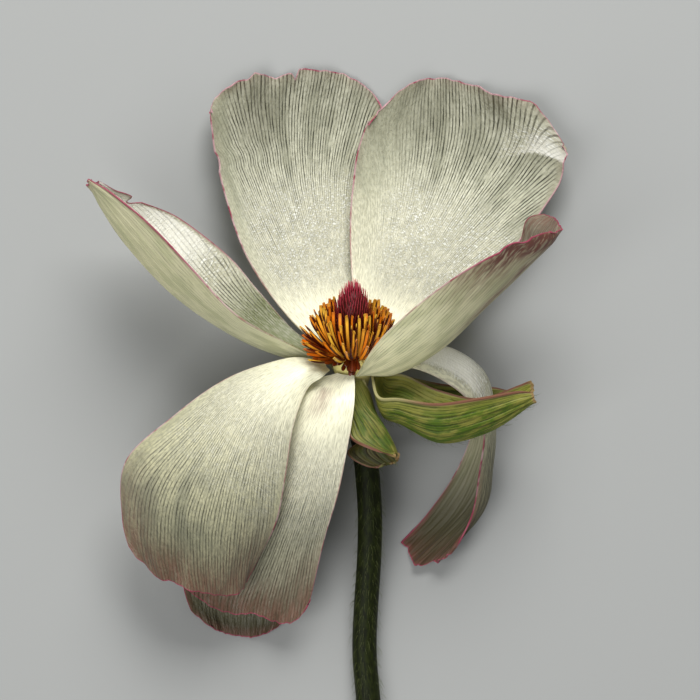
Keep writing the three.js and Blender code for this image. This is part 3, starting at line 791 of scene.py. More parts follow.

# %% How each petal has aged, and where a highlight or shade is painted on it
ageing_and_painted_light = {
    "petal_hind_left": {
        "calm": (0.12, 0.04), "veined_from": (10, 18, 30), "fan": (0.5, 0.35), "wilt": 0.3,
        "nicks": [[-1, 0.68, 0.035, 0.035]], "smudge": (0.85, -0.42, 0.16, 0.34, 0.3),
        "sage": (0.3, 0, 0),
    },
    "petal_hind_right": {
        "calm": (0.26, 0.03), "veined_from": (32, 25, 1), "fan": (0.4, 0.62), "wilt": 0.38,
        "fold": (0.712, 0.152, 0.12, 0.8, 1.1), "smudge": (0.95, 0.28, 0.06, 0.12, 0.3),
        "sage": (0.2, 0, 0),
    },
    "petal_left": {
        # frost 1.9 paints a glare highlight on the upper inner face; sage at the foot paints shade
        "calm": (0.1, 0.02), "veined_from": (10, 10, 10), "veins": 0.9, "fan": (0.1, 0.5), "frost": 1.9,
        "frosted_along": (20, 34, 58, 64), "nicks": [[1, 0.836, 0.022, 0.14], [1, 0.88, 0.035, -0.06]],
        "flush": 0.9, "flush_band": (0.6, 0.35, 0.6), "wilt": 0.05, "sage": (0.1, 1.4, 0),
    },
    "petal_front_right": {
        "calm": (0.1, 0.05), "veined_from": (5, 5, 5), "veins": 0.6, "fan": (0.2, 0.85), "frost": 0.0,
        "nicks": [[1, 0.655, 0.045, -0.06], [1, 0.725, 0.03, 0.05]],
        "flush": 1.35, "flush_band": (10, 0.3, 0.72), "streak": (0.12, 0.1, 0.3, 0.55, 2, 0.9),
        "wilt": 0.4, "yellow": 0.1, "sage": (0, 0, 0),
    },
    "petal_low_outer": {
        "calm": (0.05, 0.08), "veins": 0.75, "frost": 0.3, "flush": 1.3, "flush_band": (12, 0.6, 1),
        "wilt": 0.6, "smudge": (0.92, 0.5, 0.09, 0.3, 0.25), "yellow": 0.7, "sage": (0.2, 0, 0),
    },
    "petal_low_middle": {
        "calm": (0.05, 0.05), "veins": 0.8, "frost": 0.3, "flush": 1.3, "flush_band": (13, 0.6, 1),
        "streak": (0.24, 0.3, 0.14, 0.22, 0.28, 1), "wilt": 0.9, "yellow": 0.3,
    },
    "petal_low_inner": {"veins": 0.6, "frost": 0.0, "flush": 1.0, "yellow": 0.5, "sage": (0.3, 0, 0.3)},
    "petal_curled": {
        # frost 2.0 paints a glare highlight on the arch, which lies in the front right petal's shadow
        "veined_from": (10, 10, 10), "veins": 0.9, "fan": (0.1, 0.1), "frost": 2.0, "yellow": 0.6,
        "frosted_along": (3, 7, 16, 28), "flush": 1.2, "flush_band": (1.5, 0.6, 0.95), "wilt_from": 0.35,
    },
}
print("petals with traits of their own:", len(ageing_and_painted_light))


# %% What its traits leave at each place of a petal
def petal_marks(blade, s, t, distances):
    """How far a petal has furrows, flush, wilting, frosting and painted glare, yellow, and sage green and
    painted shade at each place.
    """
    along, margin = distances[..., 1], distances[..., 2]

    # Veins, but hardly any at the sides that stayed calm
    left_calm, right_calm = blade["calm"]
    u = (t + 1) / 2
    inside = smooth_step(u, 0.3 * left_calm, 1.3 * left_calm)
    inside = inside * smooth_step(1 - u, 0.3 * right_calm, 1.3 * right_calm)
    veined_from = np.interp(t, (-1, 0, 1), blade["veined_from"])
    veined = blade["veins"] * (0.15 + 0.85 * inside)
    veined = veined * (0.5 * smooth_step(along, 8, 18) + 0.5 * smooth_step(along - veined_from, 0, 14))

    # Flush near the margin and at the tip, and in a streak along one vein
    reach, unflushed, full = blade["flush_band"]
    band = smooth_step(margin, reach, 0.2) * smooth_step(s, unflushed, full)
    flushed = blade["flush"] * np.maximum(band, 0.3 * smooth_step(s, 0.9, 1.0))
    vein, width, start, end, fade, strength = blade["streak"]
    streak = np.exp(-(((vein_place(blade, s, t) - vein) / width) ** 2))
    streak = streak * smooth_step(s, start, end) * smooth_step(s, fade + 0.1, fade)
    flushed = np.maximum(flushed, strength * streak)

    # Wilting at the tip and in a spot
    wilted = blade["wilt"] * smooth_step(s, blade["wilt_from"], 1.0)
    middle_s, middle_t, reach_s, reach_t, strength = blade["smudge"]
    smudge = np.exp(-(((s - middle_s) / reach_s) ** 2) - ((t - middle_t) / reach_t) ** 2)
    wilted = wilted + strength * smudge

    # Frost along the middle, and a painted highlight on the fold's lit side, laid on as frost
    # above 1. Both hide some of the veins.
    bare, bright, still_bright, bare_again = blade["frosted_along"]
    frosted = smooth_step(along, bare, bright) * smooth_step(along, bare_again, still_bright)
    frosted = blade["frost"] * inside * frosted
    middle, slope, start, end, rise = blade["fold"]
    lit = np.interp(s - middle - slope * t, (-0.01, 0, 0.06, 0.13), (0, 1, 0.8, 0))
    frosted = np.maximum(frosted, np.minimum(rise, 1) * 1.9 * lit * smooth_step(t, start, end))
    veined = veined * (1 - 0.36 * np.clip(frosted, 0, 2))

    # Yellow outwards, sage green at the margins, and painted shade at the foot in the same sage
    yellowed = blade["yellow"] * smooth_step(along, 12, 32)
    sage_margins, foot_shade, sage_all = blade["sage"]
    sage = sage_margins * (1 - inside) * smooth_step(along, 8, 20)
    sage = np.maximum(sage, foot_shade * smooth_step(along, 30, 9)) + sage_all
    return {"tint": (veined, flushed, wilted), "tone": (frosted, yellowed, sage)}


# %% Lay the eight petals
PETAL_GRID = (110, 128)  # rows along a petal and columns across it
PETAL_THICKNESS = 0.25  # mm, against 0.6 in the solid

for name, blade in petals.items():
    blade.update({**COMMON, **ageing_and_painted_light[name]})
    sheet = name + "_sheet"
    petal = lay_blade(sheet, blade, PETAL_GRID, PETAL_THICKNESS, petal_marks, petal_skins)
    hand_over(petal, name)

# %% [markdown]
# # The sepals
#
# Five thick green boats stand below the petals. They are blades too, with ribs that show
# on the outside as pale and dark green stripes, a paler rim that turns brown pink
# towards the tip, and silky hairs underneath. The front one is painted darker than the others
# as shade, and has dried on its back, whose brown is darkened further as painted shadow.

# %% The sepals' ribs
sepals = {}
sepals["sepal_right"] = {
    "ribs": [
        foot(15, SEPAL_HALF_ANGLE, HIGH_SEPAL_RADIUS, -2.4),
        [[6, -0.4, 15.4], [5.6, -6.8, 17.8], [4.8, -4.2, 22.3]],
        [[9.4, -0.6, 15.6], [9, -8.7, 18.5], [8.2, -4.5, 23]],
        [[15, -3.1, 15.5], [15.5, -11.8, 19.5], [14.5, -5.3, 25]],
        [[22, -4.5, 17], [23, -10.2, 20], [21.5, -4.4, 24.5]],
        [[28.5, -2.4, 18.5], [29, -6.6, 20.5], [28, -3.3, 23]],
        [[30.7, -1.4, 19.6], [31.2, -4.5, 21], [30.9, -3.4, 22]],
    ],
    "phase": 0.5,
}
sepals["sepal_hind_right"] = {
    "ribs": [
        sepal_foot(325),
        [[9, -3, 7], [9, -5, 10.5], [9.5, -0.8, 12.5]],
        [[16, -4, 2.5], [16, -8, 6], [16, -2.1, 7.5]],
        [[22.5, -4.5, 1], [22.5, -7, 3], [23.5, -2.6, 4]],
        [[27, -3.8, 1.4], [27.2, -4.6, 2], [27.2, -3.2, 2.6]],
    ],
    "phase": 1.5,
}
sepals["sepal_front"] = {
    "ribs": [
        foot(84, SEPAL_HALF_ANGLE, HIGH_SEPAL_RADIUS, -2.5),
        [[3.8, -5.6, 17.4], [3, -5.9, 20.6], [-0.8, -5.4, 20.2]],
        [[3, -10.6, 17.6], [5.6, -9.2, 21.4], [-0.4, -9, 21]],
        [[-0.4, -13.8, 17.6], [7.2, -12.2, 21], [0.2, -11.2, 22]],
        [[3.6, -16.2, 18.2], [7.9, -14, 20.8], [3.6, -13, 22.6]],
        [[7, -15.5, 19.6], [8.2, -14.8, 20.6], [7.4, -14, 22]],
    ],
    "phase": 2.5,
}
sepals["sepal_left"] = {
    "ribs": [
        sepal_foot(152),
        [[-5.5, -6.5, 15.6], [-7, -4.6, 14.2], [-7.4, -2.2, 15]],
        [[-10, -10.5, 13.6], [-12, -8, 11.4], [-13.2, -5, 12.6]],
        [[-15, -13, 11.5], [-17, -10.8, 9.4], [-18.2, -8.6, 10.4]],
        [[-19.6, -13.6, 9.8], [-20.2, -13, 9], [-20.6, -12.2, 9.4]],
    ],
    "phase": 3.5,
}
sepals["sepal_hind_left"] = {
    "ribs": [
        sepal_foot(238),
        [[-5.6, 4.2, 10.6], [-3.6, 5.4, 9.4], [-1.4, 6, 10.4]],
        [[-9.4, 9.6, 7.6], [-7, 10.6, 6], [-4, 11.6, 6.6]],
        [[-11.8, 14.8, 5.2], [-9.8, 16, 3.8], [-7.4, 16.6, 4.2]],
        [[-11.4, 19.2, 3.6], [-10.8, 19.8, 3], [-10, 20, 3.2]],
    ],
    "phase": 4.5,
}
print("sepals:", len(sepals))


# %% The sepals' skin
SEPAL_MARKS = {"skin_mm": ("across", "along", "margin"), "tint": ("pale", "pink", "dry")}
RIB_SPACING = 1.2  # mm between a sepal's dark stripes
THREAD_SPACING = 0.45  # mm between its fine lines
SEPAL_COLOURS = {  # of raised, mottled and sunken places, and how strong the stripes are
    "sepal_inner_skin": ("#8d8a3c", "#687a1c", "#3f4710", 0.45),
    "sepal_outer_skin": ("#86843a", "#4c6413", "#26340a", 0.55),
    # the front sepal's skin is a darker copy: painted shade
    "sepal_front_shaded_skin": ("#6c6a2c", "#425510", "#222c08", 0.6),
    # brown where the sepal has dried, darkened further as painted shadow in its mouth
    "sepal_dry_and_shadowed_skin": ("#4e461c", "#38420f", "#1c1206", 0.7),
}


def sepal_skin(name, pale, green, deep, stripes):
    """Mottled green with dark furrows, thin stripes and a rim that turns from cream to brown."""
    material = new_material(name)
    tree = material.node_tree
    marks = read_marks(tree, SEPAL_MARKS)
    skin, margin = marks["skin_mm"], marks["margin"]
    rough = {"detail": 5.0, "roughness": 0.65}
    patches = mottle(tree, skin, (1, 0.45), per_mm=0.6, shows=(0.34, 0.62, 0, 1), **rough)
    furrows = add_furrows(tree, skin, RIB_SPACING)
    threads = add_furrows(tree, skin, THREAD_SPACING)
    wide = add_node(tree, "ShaderNodeMath", {0: furrows, 1: stripes}, **TIMES)
    thin = add_node(tree, "ShaderNodeMath", {0: threads, 1: 0.6}, **TIMES)
    rim = {"Value": margin, "From Min": 0.55, "From Max": 0.15}
    rim = add_node(tree, "ShaderNodeMapRange", rim, **SOFT)
    line = {"Value": margin, "From Min": 0.42, "From Max": 0.2}
    line = add_node(tree, "ShaderNodeMapRange", line, **SOFT)
    line = add_node(tree, "ShaderNodeMath", {0: line, 1: marks["pink"]}, **TIMES)
    layers = [
        [patches, green], [marks["pale"], pale], [wide, deep], [thin, deep], [rim, "#918b5e"],
        [line, "#6f4034"], [marks["dry"], "#8d7648"],
    ]
    colour = pale
    for share, layer in layers:
        colour = add_node(tree, "ShaderNodeMix", {SHARE: share, UNDER: colour, OVER: layer}, **COLOURS)
    depths = {0: threads, 1: 0.5, 2: furrows}
    depth = add_node(tree, "ShaderNodeMath", depths, operation="MULTIPLY_ADD")
    depth = {"Height": depth, "Strength": 0.6, "Distance": 0.2 * MM}
    bump = add_node(tree, "ShaderNodeBump", depth, invert=True)
    coat = {"Base Color": colour, "Roughness": 0.5, "Specular IOR Level": 0.25, "Normal": bump}
    add_surface(tree, coat, through=0.12)
    return material


sepal_skins = [sepal_skin(name, *colours) for name, colours in SEPAL_COLOURS.items()]
print("sepal skins:", [skin.name for skin in sepal_skins])


# %% Lay the five sepals
SEPAL_GRID = (60, 48)
SEPAL_THICKNESS = 0.45  # mm, against 0.7 in the solid


def sepal_marks(blade, s, t, distances):
    """How pale, how pink at the rim and how dry a sepal is at each place."""
    margin = distances[..., 2]
    pale = 0.8 * smooth_step(margin, 3.0, 0.3) + 0.5 * smooth_step(s, 0.4, 0.05)
    pink = 0.9 * smooth_step(s, 0.3, 0.5)
    dry = 0.9 * smooth_step(s, 0.95, 1.0)
    return {"tint": (np.clip(pale, 0, 0.9), pink, dry)}


for name, blade in sepals.items():
    blade.update({**COMMON, "tip": [[-1, 0], [1, 0]], "ruffle": 0.3, "waves": 5})
    blade.update({"pleats": 9, "pleat_depth": 0.09, "fan": (0, 0)})
    skins = sepal_skins[2:] if name == "sepal_front" else sepal_skins[:2]
    sepal = lay_blade(name + "_boat", blade, SEPAL_GRID, SEPAL_THICKNESS, sepal_marks, skins)
    hand_over(sepal, name)

# %% [markdown]
# # The stem and the receptacle
#
# The stem swells into the receptacle that carries everything else, and both grew as one
# piece. A bevelled curve would do for the stem alone. Here a grid is rolled into a tube
# instead, ring by ring, because the rings can then swell and turn smoothly from the
# stem's line to the head's axis. The cut end is closed with a face, inset and pushed in,
# as these stems are hollow.

# %% The rings, from the receptacle's top to the cut end
STEM_RADIUS = 2.1
STEM_RINGS = 70
STEM_START = 0.09  # share of the stem's line that the receptacle takes up
RECEPTACLE = [  # radius and place along the head's axis
    [0.6, 1.0], [2.2, 0.9], [3.1, 0.5], [3.45, -0.2], [3.5, -1.0], [3.35, -2.0], [3.1, -3.0],
    [2.8, -4.2], [2.45, -5.5], [2.2, -6.6],
]
stem_line = np.array([
    on_head(0, 0, -5.5), [1.6, -8, 13], [2.8, -15.8, 10], [3.4, -24, 7.4], [3.3, -32, 5],
    [2.8, -40, 3.2], [2.5, -48, 2.2], [3.1, -56, 2], [4.4, -70, 2], [4.9, -94.9, 2],
])


def head_rings(profile):
    """Rings round the head's axis, each a radius and a middle."""
    return [[radius, on_head(0, 0, along)] for radius, along in profile]


stem_places = smooth_line(stem_line, np.linspace(STEM_START, 1, STEM_RINGS))
rings = head_rings(RECEPTACLE) + [[STEM_RADIUS, place] for place in stem_places]
print("rings:", len(rings))

# %% Roll a grid into a tube
TUBE_SIDES = 32


def roll_tube(name, rings):
    """A grid rolled round a line of rings, each a radius and a middle. Its ends stay open."""
    deselect_all()
    bpy.ops.mesh.primitive_grid_add(x_subdivisions=TUBE_SIDES, y_subdivisions=len(rings) - 1, size=2)
    tube = bpy.context.object
    tube.name = name
    tube.data.name = name
    headings = unit(np.gradient(np.array([middle for _, middle in rings]), axis=0))
    across = HEAD_RIGHT
    turns = np.linspace(0, 2 * math.pi, TUBE_SIDES + 1)
    points = []
    for (radius, middle), heading in zip(rings, headings):
        across = unit(across - heading * across.dot(heading))
        up = np.cross(heading, across)
        ring = np.outer(np.cos(turns), across) + np.outer(np.sin(turns), up)
        points.append(middle + radius * ring)
    tube.data.vertices.foreach_set("co", in_metres(points).ravel())
    bpy.ops.object.mode_set(mode="EDIT")
    bpy.ops.mesh.select_all(action="SELECT")
    bpy.ops.mesh.remove_doubles(threshold=1e-6)
    bpy.ops.mesh.normals_make_consistent(inside=False)
    bpy.ops.object.mode_set(mode="OBJECT")
    return tube


def select_vertices(piece, chosen):
    """In edit mode, selects the vertices for which chosen(place) is true."""
    bpy.ops.object.mode_set(mode="EDIT")
    bpy.ops.mesh.select_mode(type="VERT")
    bpy.ops.mesh.select_all(action="DESELECT")
    bpy.ops.object.mode_set(mode="OBJECT")
    for vertex in piece.data.vertices:
        vertex.select = bool(chosen(vertex.co))
    bpy.ops.object.mode_set(mode="EDIT")


print("a tube's sides:", TUBE_SIDES)

# %% The stem's tube, with its hollow cut end
WALL = 0.7  # mm of stem round the hollow
HOLLOW_DEPTH = 3  # mm
TOP_REACH = 0.9  # mm, which takes in the receptacle's top ring and no other

stem = roll_tube("stem_and_receptacle", rings)
cut_end = in_metres(rings[-1][1])
receptacle_top = Vector(in_metres(rings[0][1]))
select_vertices(stem, lambda place: abs(place.y - cut_end[1]) < 0.2 * MM)
bpy.ops.mesh.edge_face_add()
bpy.ops.mesh.inset(thickness=WALL * MM)
bpy.ops.mesh.extrude_region_move(TRANSFORM_OT_translate={"value": (0, HOLLOW_DEPTH * MM, 0)})
select_vertices(stem, lambda place: (place - receptacle_top).length < TOP_REACH * MM)
bpy.ops.mesh.edge_face_add()
bpy.ops.object.mode_set(mode="OBJECT")
bpy.ops.object.shade_smooth_by_angle(angle=CREASE)
print("stem faces:", len(stem.data.polygons))


# %% The stem's skin
def stem_skin():
    """Dark olive green with fine lengthwise ridges, pale and smooth on the receptacle."""
    material = new_material("stem_skin")
    tree = material.node_tree
    uv = add_node(tree, "ShaderNodeUVMap", {}, uv_map="UVMap")
    along = add_node(tree, "ShaderNodeSeparateXYZ", {"Vector": uv}).outputs["Y"]
    round_and_along = (2 * math.pi * STEM_RADIUS, 22.0, 0)  # mm round the stem, drawn out along it
    ridges = add_node(tree, "ShaderNodeMapping", {"Vector": uv, "Scale": round_and_along})
    noise = {"Vector": ridges, "Scale": 1.6, "Detail": 4.0, "Roughness": 0.7}
    grain = add_node(tree, "ShaderNodeTexNoise", noise, **FLAT)
    streaks = {"Value": grain, "From Min": 0.35, "From Max": 0.65}
    streaks = add_node(tree, "ShaderNodeMapRange", streaks, **SOFT)
    swelling = {"Value": along, "From Min": 0.14, "From Max": 0.05}
    swelling = add_node(tree, "ShaderNodeMapRange", swelling, **SOFT)
    colour = "#0c1001"
    for share, layer in ((streaks, "#1b2105"), (swelling, "#cfc47c")):
        colour = add_node(tree, "ShaderNodeMix", {SHARE: share, UNDER: colour, OVER: layer}, **COLOURS)
    bump = {"Height": grain, "Strength": 0.5, "Distance": 0.15 * MM}
    bump = add_node(tree, "ShaderNodeBump", bump)
    coat = {"Base Color": colour, "Roughness": 0.55, "Specular IOR Level": 0.12, "Normal": bump}
    add_surface(tree, coat)
    return material


stem.data.materials.append(stem_skin())
hand_over(stem, "stem")

# %% [markdown]
# # The stamens
#
# A brush of over a hundred straps stands round the carpels. Each is orange on its flat
# face, with maroon sides and tip, and bends upwards. One strap is modelled from a cube:
# cut across into rings, given a furrow down its middle, and its rings drawn in towards
# both ends. It is then copied round the head by the golden angle, as growing plants place
# them, and each copy is bent along its own arc.

# %% One strap
STRAP_LENGTH = 7.7
STRAP_WIDTH = 0.82
STRAP_THICKNESS = 0.3
STRAP_OUTLINE = [0.4, 0.45, 0.6, 0.8, 0.95, 1.0, 0.98, 0.5]  # its width from foot to tip
FURROW = 0.55  # share of the strap's thickness that is left in the furrow


def narrow_rings(piece, outline, length):
    """Scales each ring of a straight piece along Z by the outline's share for its height."""
    for k, share in enumerate(outline):
        height = length * k / (len(outline) - 1)
        select_vertices(piece, lambda place: abs(place.z - height * MM) < 0.05 * MM)
        middle = (0, 0, height * MM)
        bpy.ops.transform.resize(value=(share, share, 1), center_override=middle)
    bpy.ops.object.mode_set(mode="OBJECT")


deselect_all()
bpy.ops.mesh.primitive_cube_add(size=1)
strap = bpy.context.object
bpy.ops.object.mode_set(mode="EDIT")
bpy.ops.transform.resize(value=(STRAP_WIDTH * MM, STRAP_THICKNESS * MM, STRAP_LENGTH * MM))
bpy.ops.transform.translate(value=(0, 0, STRAP_LENGTH / 2 * MM))
for k in range(1, len(STRAP_OUTLINE) - 1):
    ring_height = STRAP_LENGTH * MM * k / (len(STRAP_OUTLINE) - 1)
    bpy.ops.mesh.select_all(action="SELECT")
    bpy.ops.mesh.bisect(plane_co=(0, 0, ring_height), plane_no=(0, 0, 1))
bpy.ops.mesh.select_all(action="SELECT")
bpy.ops.mesh.bisect(plane_co=(0, 0, 0), plane_no=(1, 0, 0))
select_vertices(strap, lambda place: abs(place.x) < 0.01 * MM)
bpy.ops.transform.resize(value=(1, FURROW, 1), center_override=(0, 0, 0))
narrow_rings(strap, STRAP_OUTLINE, STRAP_LENGTH)
print("strap faces:", len(strap.data.polygons))

# %% Copies of a small piece, each bent along its own line
STRAND_CREASE = math.radians(60)


def take_shape(piece, width, length):
    """A small piece's vertices in millimetres, its faces and how far across and up each lies."""
    places = np.array([vertex.co for vertex in piece.data.vertices]) / MM
    faces = [list(polygon.vertices) for polygon in piece.data.polygons]
    uv = np.column_stack([0.5 + places[:, 0] / width, places[:, 2] / length])
    bpy.data.objects.remove(piece)
    return places, faces, uv


def bent_copy(shape, line, face_towards, width_share=1):
    """A straight piece's vertices, moved on to a smooth line with its face turned one way."""
    places = shape[0]
    share = places[:, 2] / places[:, 2].max()
    ahead = unit(smooth_line(line, np.minimum(share + 0.02, 1)) - smooth_line(line, share - 0.02))
    across = unit(np.cross(ahead, face_towards))
    face = np.cross(across, ahead)
    x = places[:, 0:1] * width_share
    y = places[:, 1:2]
    return smooth_line(line, share) + across * x + face * y


def select_pieces(first, *others):
    deselect_all()
    for piece in (first, *others):
        piece.select_set(True)
    bpy.context.view_layer.objects.active = first


def join_copies(name, shape, copies, variety):
    """One mesh of many copies of a shape. variety is one number a copy, for its finish."""
    _, faces, uv = shape
    count = len(uv)
    all_faces = [[i + k * count for i in face] for k in range(len(copies)) for face in faces]
    mesh = bpy.data.meshes.new(name)
    mesh.from_pydata(in_metres(np.concatenate(copies)).tolist(), [], all_faces)
    piece = bpy.data.objects.new(name, mesh)
    bpy.context.collection.objects.link(piece)
    strand = np.column_stack([np.tile(uv, (len(copies), 1)), np.repeat(np.array(variety), count)])
    write_attribute(mesh, "strand", strand)
    select_pieces(piece)
    bpy.ops.object.shade_smooth_by_angle(angle=STRAND_CREASE)
    return piece


strap_shape = take_shape(strap, STRAP_WIDTH, STRAP_LENGTH)
print("strap vertices:", len(strap_shape[0]))

# %% Where the stamens stand
STAMEN_COUNT = 124
STAMEN_BEND = 7  # degrees upwards at each third of a stamen
STAMEN_SPREAD = 5  # degrees further out at its foot
LEANS = [  # azimuth, least and most lean
    [0, 13, 42], [30, 8, 36], [60, 4, 44], [90, 3, 66], [120, 4, 74], [140, 6, 76], [160, 10, 72],
    [180, 14, 58], [200, 16, 46], [225, 18, 38], [270, 20, 34], [320, 18, 38], [360, 13, 42],
]
DROOPING = [  # azimuth, lean and length
    [166, 60, 7], [158, 64, 7.2], [152, 68, 7.4], [147, 72, 7.4], [143, 77, 7], [138, 82, 6.2],
    [132, 80, 5.8], [126, 86, 5], [118, 90, 4.2], [112, 86, 4], [106, 98, 3.4], [98, 104, 3],
    [92, 112, 2.8], [86, 106, 3], [80, 98, 3], [95, 124, 3.2], [89, 130, 3], [101, 92, 3.4],
]


def strand_line(azimuth, lean, bend, root, length):
    """Four points of a strand that starts with a lean and bends upwards."""
    line = [root]
    for k in range(3):
        heading = head_direction(azimuth, max(lean - bend * k, 2))
        line.append(line[-1] + heading * length / 3)
    return np.array(line)


leans_at, least_leans, most_leans = np.array(LEANS).T
copies = []
variety = []
for i in range(STAMEN_COUNT):
    level = (i + 0.5) / STAMEN_COUNT
    azimuth = (i * GOLDEN_ANGLE + random.uniform(-6, 6)) % 360
    least, most = (np.interp(azimuth, leans_at, leans) for leans in (least_leans, most_leans))
    lean = most + (least - most) * level**0.8 + random.uniform(-4, 4)
    length = STRAP_LENGTH * random.uniform(0.88, 1.04)
    root = on_head(azimuth, 3.2 - 0.45 * level, 0.6 + 1.7 * level)  # further up, nearer the axis
    line = strand_line(azimuth, lean + STAMEN_SPREAD, STAMEN_BEND, root, length)
    towards = HEAD_AXIS + 0.45 * random.normal(size=3)
    copies.append(bent_copy(strap_shape, line, towards, random.uniform(0.85, 1.1)))
    variety.append(random.uniform(0, 1))
for azimuth, lean, length in DROOPING:
    bend = 5 if lean < 95 else -6  # the lowest ones curl down
    line = strand_line(azimuth, lean, bend, on_head(azimuth, 3.1, 1.2), length)
    towards = HEAD_FRONT + 0.5 * HEAD_AXIS + 0.4 * random.normal(size=3)
    copies.append(bent_copy(strap_shape, line, towards, 0.85))
    variety.append(np.interp(lean, (60, 88), (0, -0.6)))
stamens = join_copies("stamen_brush", strap_shape, copies, variety)
print("stamens:", len(copies))


# %% The stamens' skin
STRAND_MARKS = {"strand": ("side", "height", "variety")}


def stamen_skin():
    """Waxy orange to golden faces that turn to dark maroon at the sides, the tip and the foot."""
    material = new_material("stamen_skin")
    tree = material.node_tree
    marks = read_marks(tree, STRAND_MARKS)
    height, variety = marks["height"], marks["variety"]
    gold = {SHARE: variety, UNDER: "#ee7a0c", OVER: "#ffcc44"}
    gold = add_node(tree, "ShaderNodeMix", gold, **COLOURS)
    centred = add_node(tree, "ShaderNodeMath", {0: marks["side"], 1: 0.5}, **LESS)
    sideways = add_node(tree, "ShaderNodeMath", {0: centred}, operation="ABSOLUTE")
    dark = {"Value": sideways, "From Min": 0.2, "From Max": 0.38}
    dark = add_node(tree, "ShaderNodeMapRange", dark, **SOFT)
    tip = {"Value": height, "From Min": 0.84, "From Max": 1.0, "To Max": 0.5}
    foot_end = {"Value": height, "From Min": 0.45, "From Max": 0.0, "To Max": 0.55}
    withered = {"Value": variety, "From Min": 0.1, "From Max": -0.6, "To Max": 0.95}
    for place, steps in ((tip, SOFT), (foot_end, SOFT), (withered, {})):
        darker = add_node(tree, "ShaderNodeMapRange", place, **steps)
        dark = add_node(tree, "ShaderNodeMath", {0: dark, 1: darker}, **LARGER)
    colour = add_node(tree, "ShaderNodeMix", {SHARE: dark, UNDER: gold, OVER: "#441004"}, **COLOURS)
    add_surface(tree, {"Base Color": colour, "Roughness": 0.33, "Specular IOR Level": 0.35})
    return material


stamen_finish = stamen_skin()
print("nodes of the stamens' skin:", len(stamen_finish.node_tree.nodes))

# %% The ring that the stamens grow from, joined to them
RING_PROFILE = [  # radius and place along the head's axis
    [2.0, 0.7], [2.9, 0.75], [3.1, 1.1], [3.0, 1.8], [2.8, 2.5], [2.4, 3.0], [1.2, 3.2],
]


def join_pieces(first, second, skin):
    """Joins the second piece to the first one, both in one skin."""
    for piece in (first, second):
        piece.data.materials.append(skin)
    select_pieces(first, second)
    bpy.ops.object.join()


join_pieces(stamens, roll_tube("stamen_ring", head_rings(RING_PROFILE)), stamen_finish)
hand_over(stamens, "stamens")

# %% [markdown]
# # The carpels
#
# The middle of the flower is a blunt cone beset with hundreds of thin crimson styles that
# point up and outwards. The cone is a tube of rings. One style is a thin cone, curved
# when it is copied, and the copies again follow the golden angle.

# %% The cone and one style
CONE = [  # radius and place along the head's axis, from the top
    [0.05, 12.8], [0.75, 12.5], [1.45, 11.7], [2.05, 10.6], [2.45, 9.3], [2.7, 7.7], [2.75, 6.0],
    [2.6, 4.5], [2.2, 3.0],
]
STYLE_COUNT = 380
STYLE_LENGTH = 2.1
STYLE_WIDTH = 0.26
STYLE_BEND = 8  # degrees upwards at each third of a style
ROOTED = 0.15  # mm that a style's foot lies inside the cone


def model_strand(sides, width, tip_width, length, cuts):
    """A thin upright cone, cut across so that its copies can bend."""
    deselect_all()
    ends = {"radius1": width / 2 * MM, "radius2": tip_width / 2 * MM}
    middle = (0, 0, length / 2 * MM)
    bpy.ops.mesh.primitive_cone_add(vertices=sides, depth=length * MM, location=middle, **ends)
    bpy.ops.object.transform_apply(location=True, rotation=False, scale=False)
    bpy.ops.object.mode_set(mode="EDIT")
    for k in range(1, cuts + 1):
        bpy.ops.mesh.select_all(action="SELECT")
        bpy.ops.mesh.bisect(plane_co=(0, 0, length * MM * k / (cuts + 1)), plane_no=(0, 0, 1))
    bpy.ops.object.mode_set(mode="OBJECT")
    return take_shape(bpy.context.object, width, length)


carpels = roll_tube("carpel_head", head_rings(CONE))
style_shape = model_strand(sides=5, width=STYLE_WIDTH, tip_width=0.06, length=STYLE_LENGTH, cuts=2)
print("style faces:", len(style_shape[1]))

# %% Copy the styles over the cone
cone_radii, cone_heights = np.array(CONE)[::-1].T
copies = []
variety = []
for i in range(STYLE_COUNT):
    level = (i + 0.5) / STYLE_COUNT
    along = 3.2 + 9.5 * level
    azimuth = i * GOLDEN_ANGLE
    radius = np.interp(along, cone_heights, cone_radii) - ROOTED
    lean = 36 - 28 * level**1.4 + random.uniform(-8, 8)  # nearly upright at the top
    root = on_head(azimuth, radius, along - 2 * ROOTED)
    length = STYLE_LENGTH * random.uniform(0.75, 1.1)
    line = strand_line(azimuth, lean, STYLE_BEND, root, length)
    copies.append(bent_copy(style_shape, line, HEAD_RIGHT))
    variety.append(np.clip(1.8 * level - 0.8 + random.uniform(-0.2, 0.2), 0, 1))
styles = join_copies("carpel_styles", style_shape, copies, variety)
print("styles:", len(copies))


# %% The carpels' skin
def carpel_skin():
    """Dark brown red between the styles, whose tips are redder low down and crimson at the top."""
    material = new_material("carpel_skin")
    tree = material.node_tree
    marks = read_marks(tree, STRAND_MARKS)
    height, variety = marks["height"], marks["variety"]
    tip = {"Value": height, "From Min": 0.2, "From Max": 0.9}
    tip = add_node(tree, "ShaderNodeMapRange", tip, **SOFT)
    between = {SHARE: variety, UNDER: "#3a0c06", OVER: "#6c1018"}
    between = add_node(tree, "ShaderNodeMix", between, **COLOURS)
    crimson = {SHARE: variety, UNDER: "#84281a", OVER: "#c03a52"}
    crimson = add_node(tree, "ShaderNodeMix", crimson, **COLOURS)
    colour = {SHARE: tip, UNDER: between, OVER: crimson}
    colour = add_node(tree, "ShaderNodeMix", colour, **COLOURS)
    add_surface(tree, {"Base Color": colour, "Roughness": 0.45, "Specular IOR Level": 0.25})
    return material


join_pieces(carpels, styles, carpel_skin())
hand_over(carpels, "carpels")

# %% [markdown]
# # The hairs
#
# Fine silky hairs lie along the stem and fringe the sepals. Particle hair is not a mesh,
# so each hair here is a thin cone copied along the skin, leaning the way it grows.

# %% One hair
HAIR_LENGTH = 1.7
HAIR_WIDTH = 0.05  # a real one is thinner, but it would not show in the picture

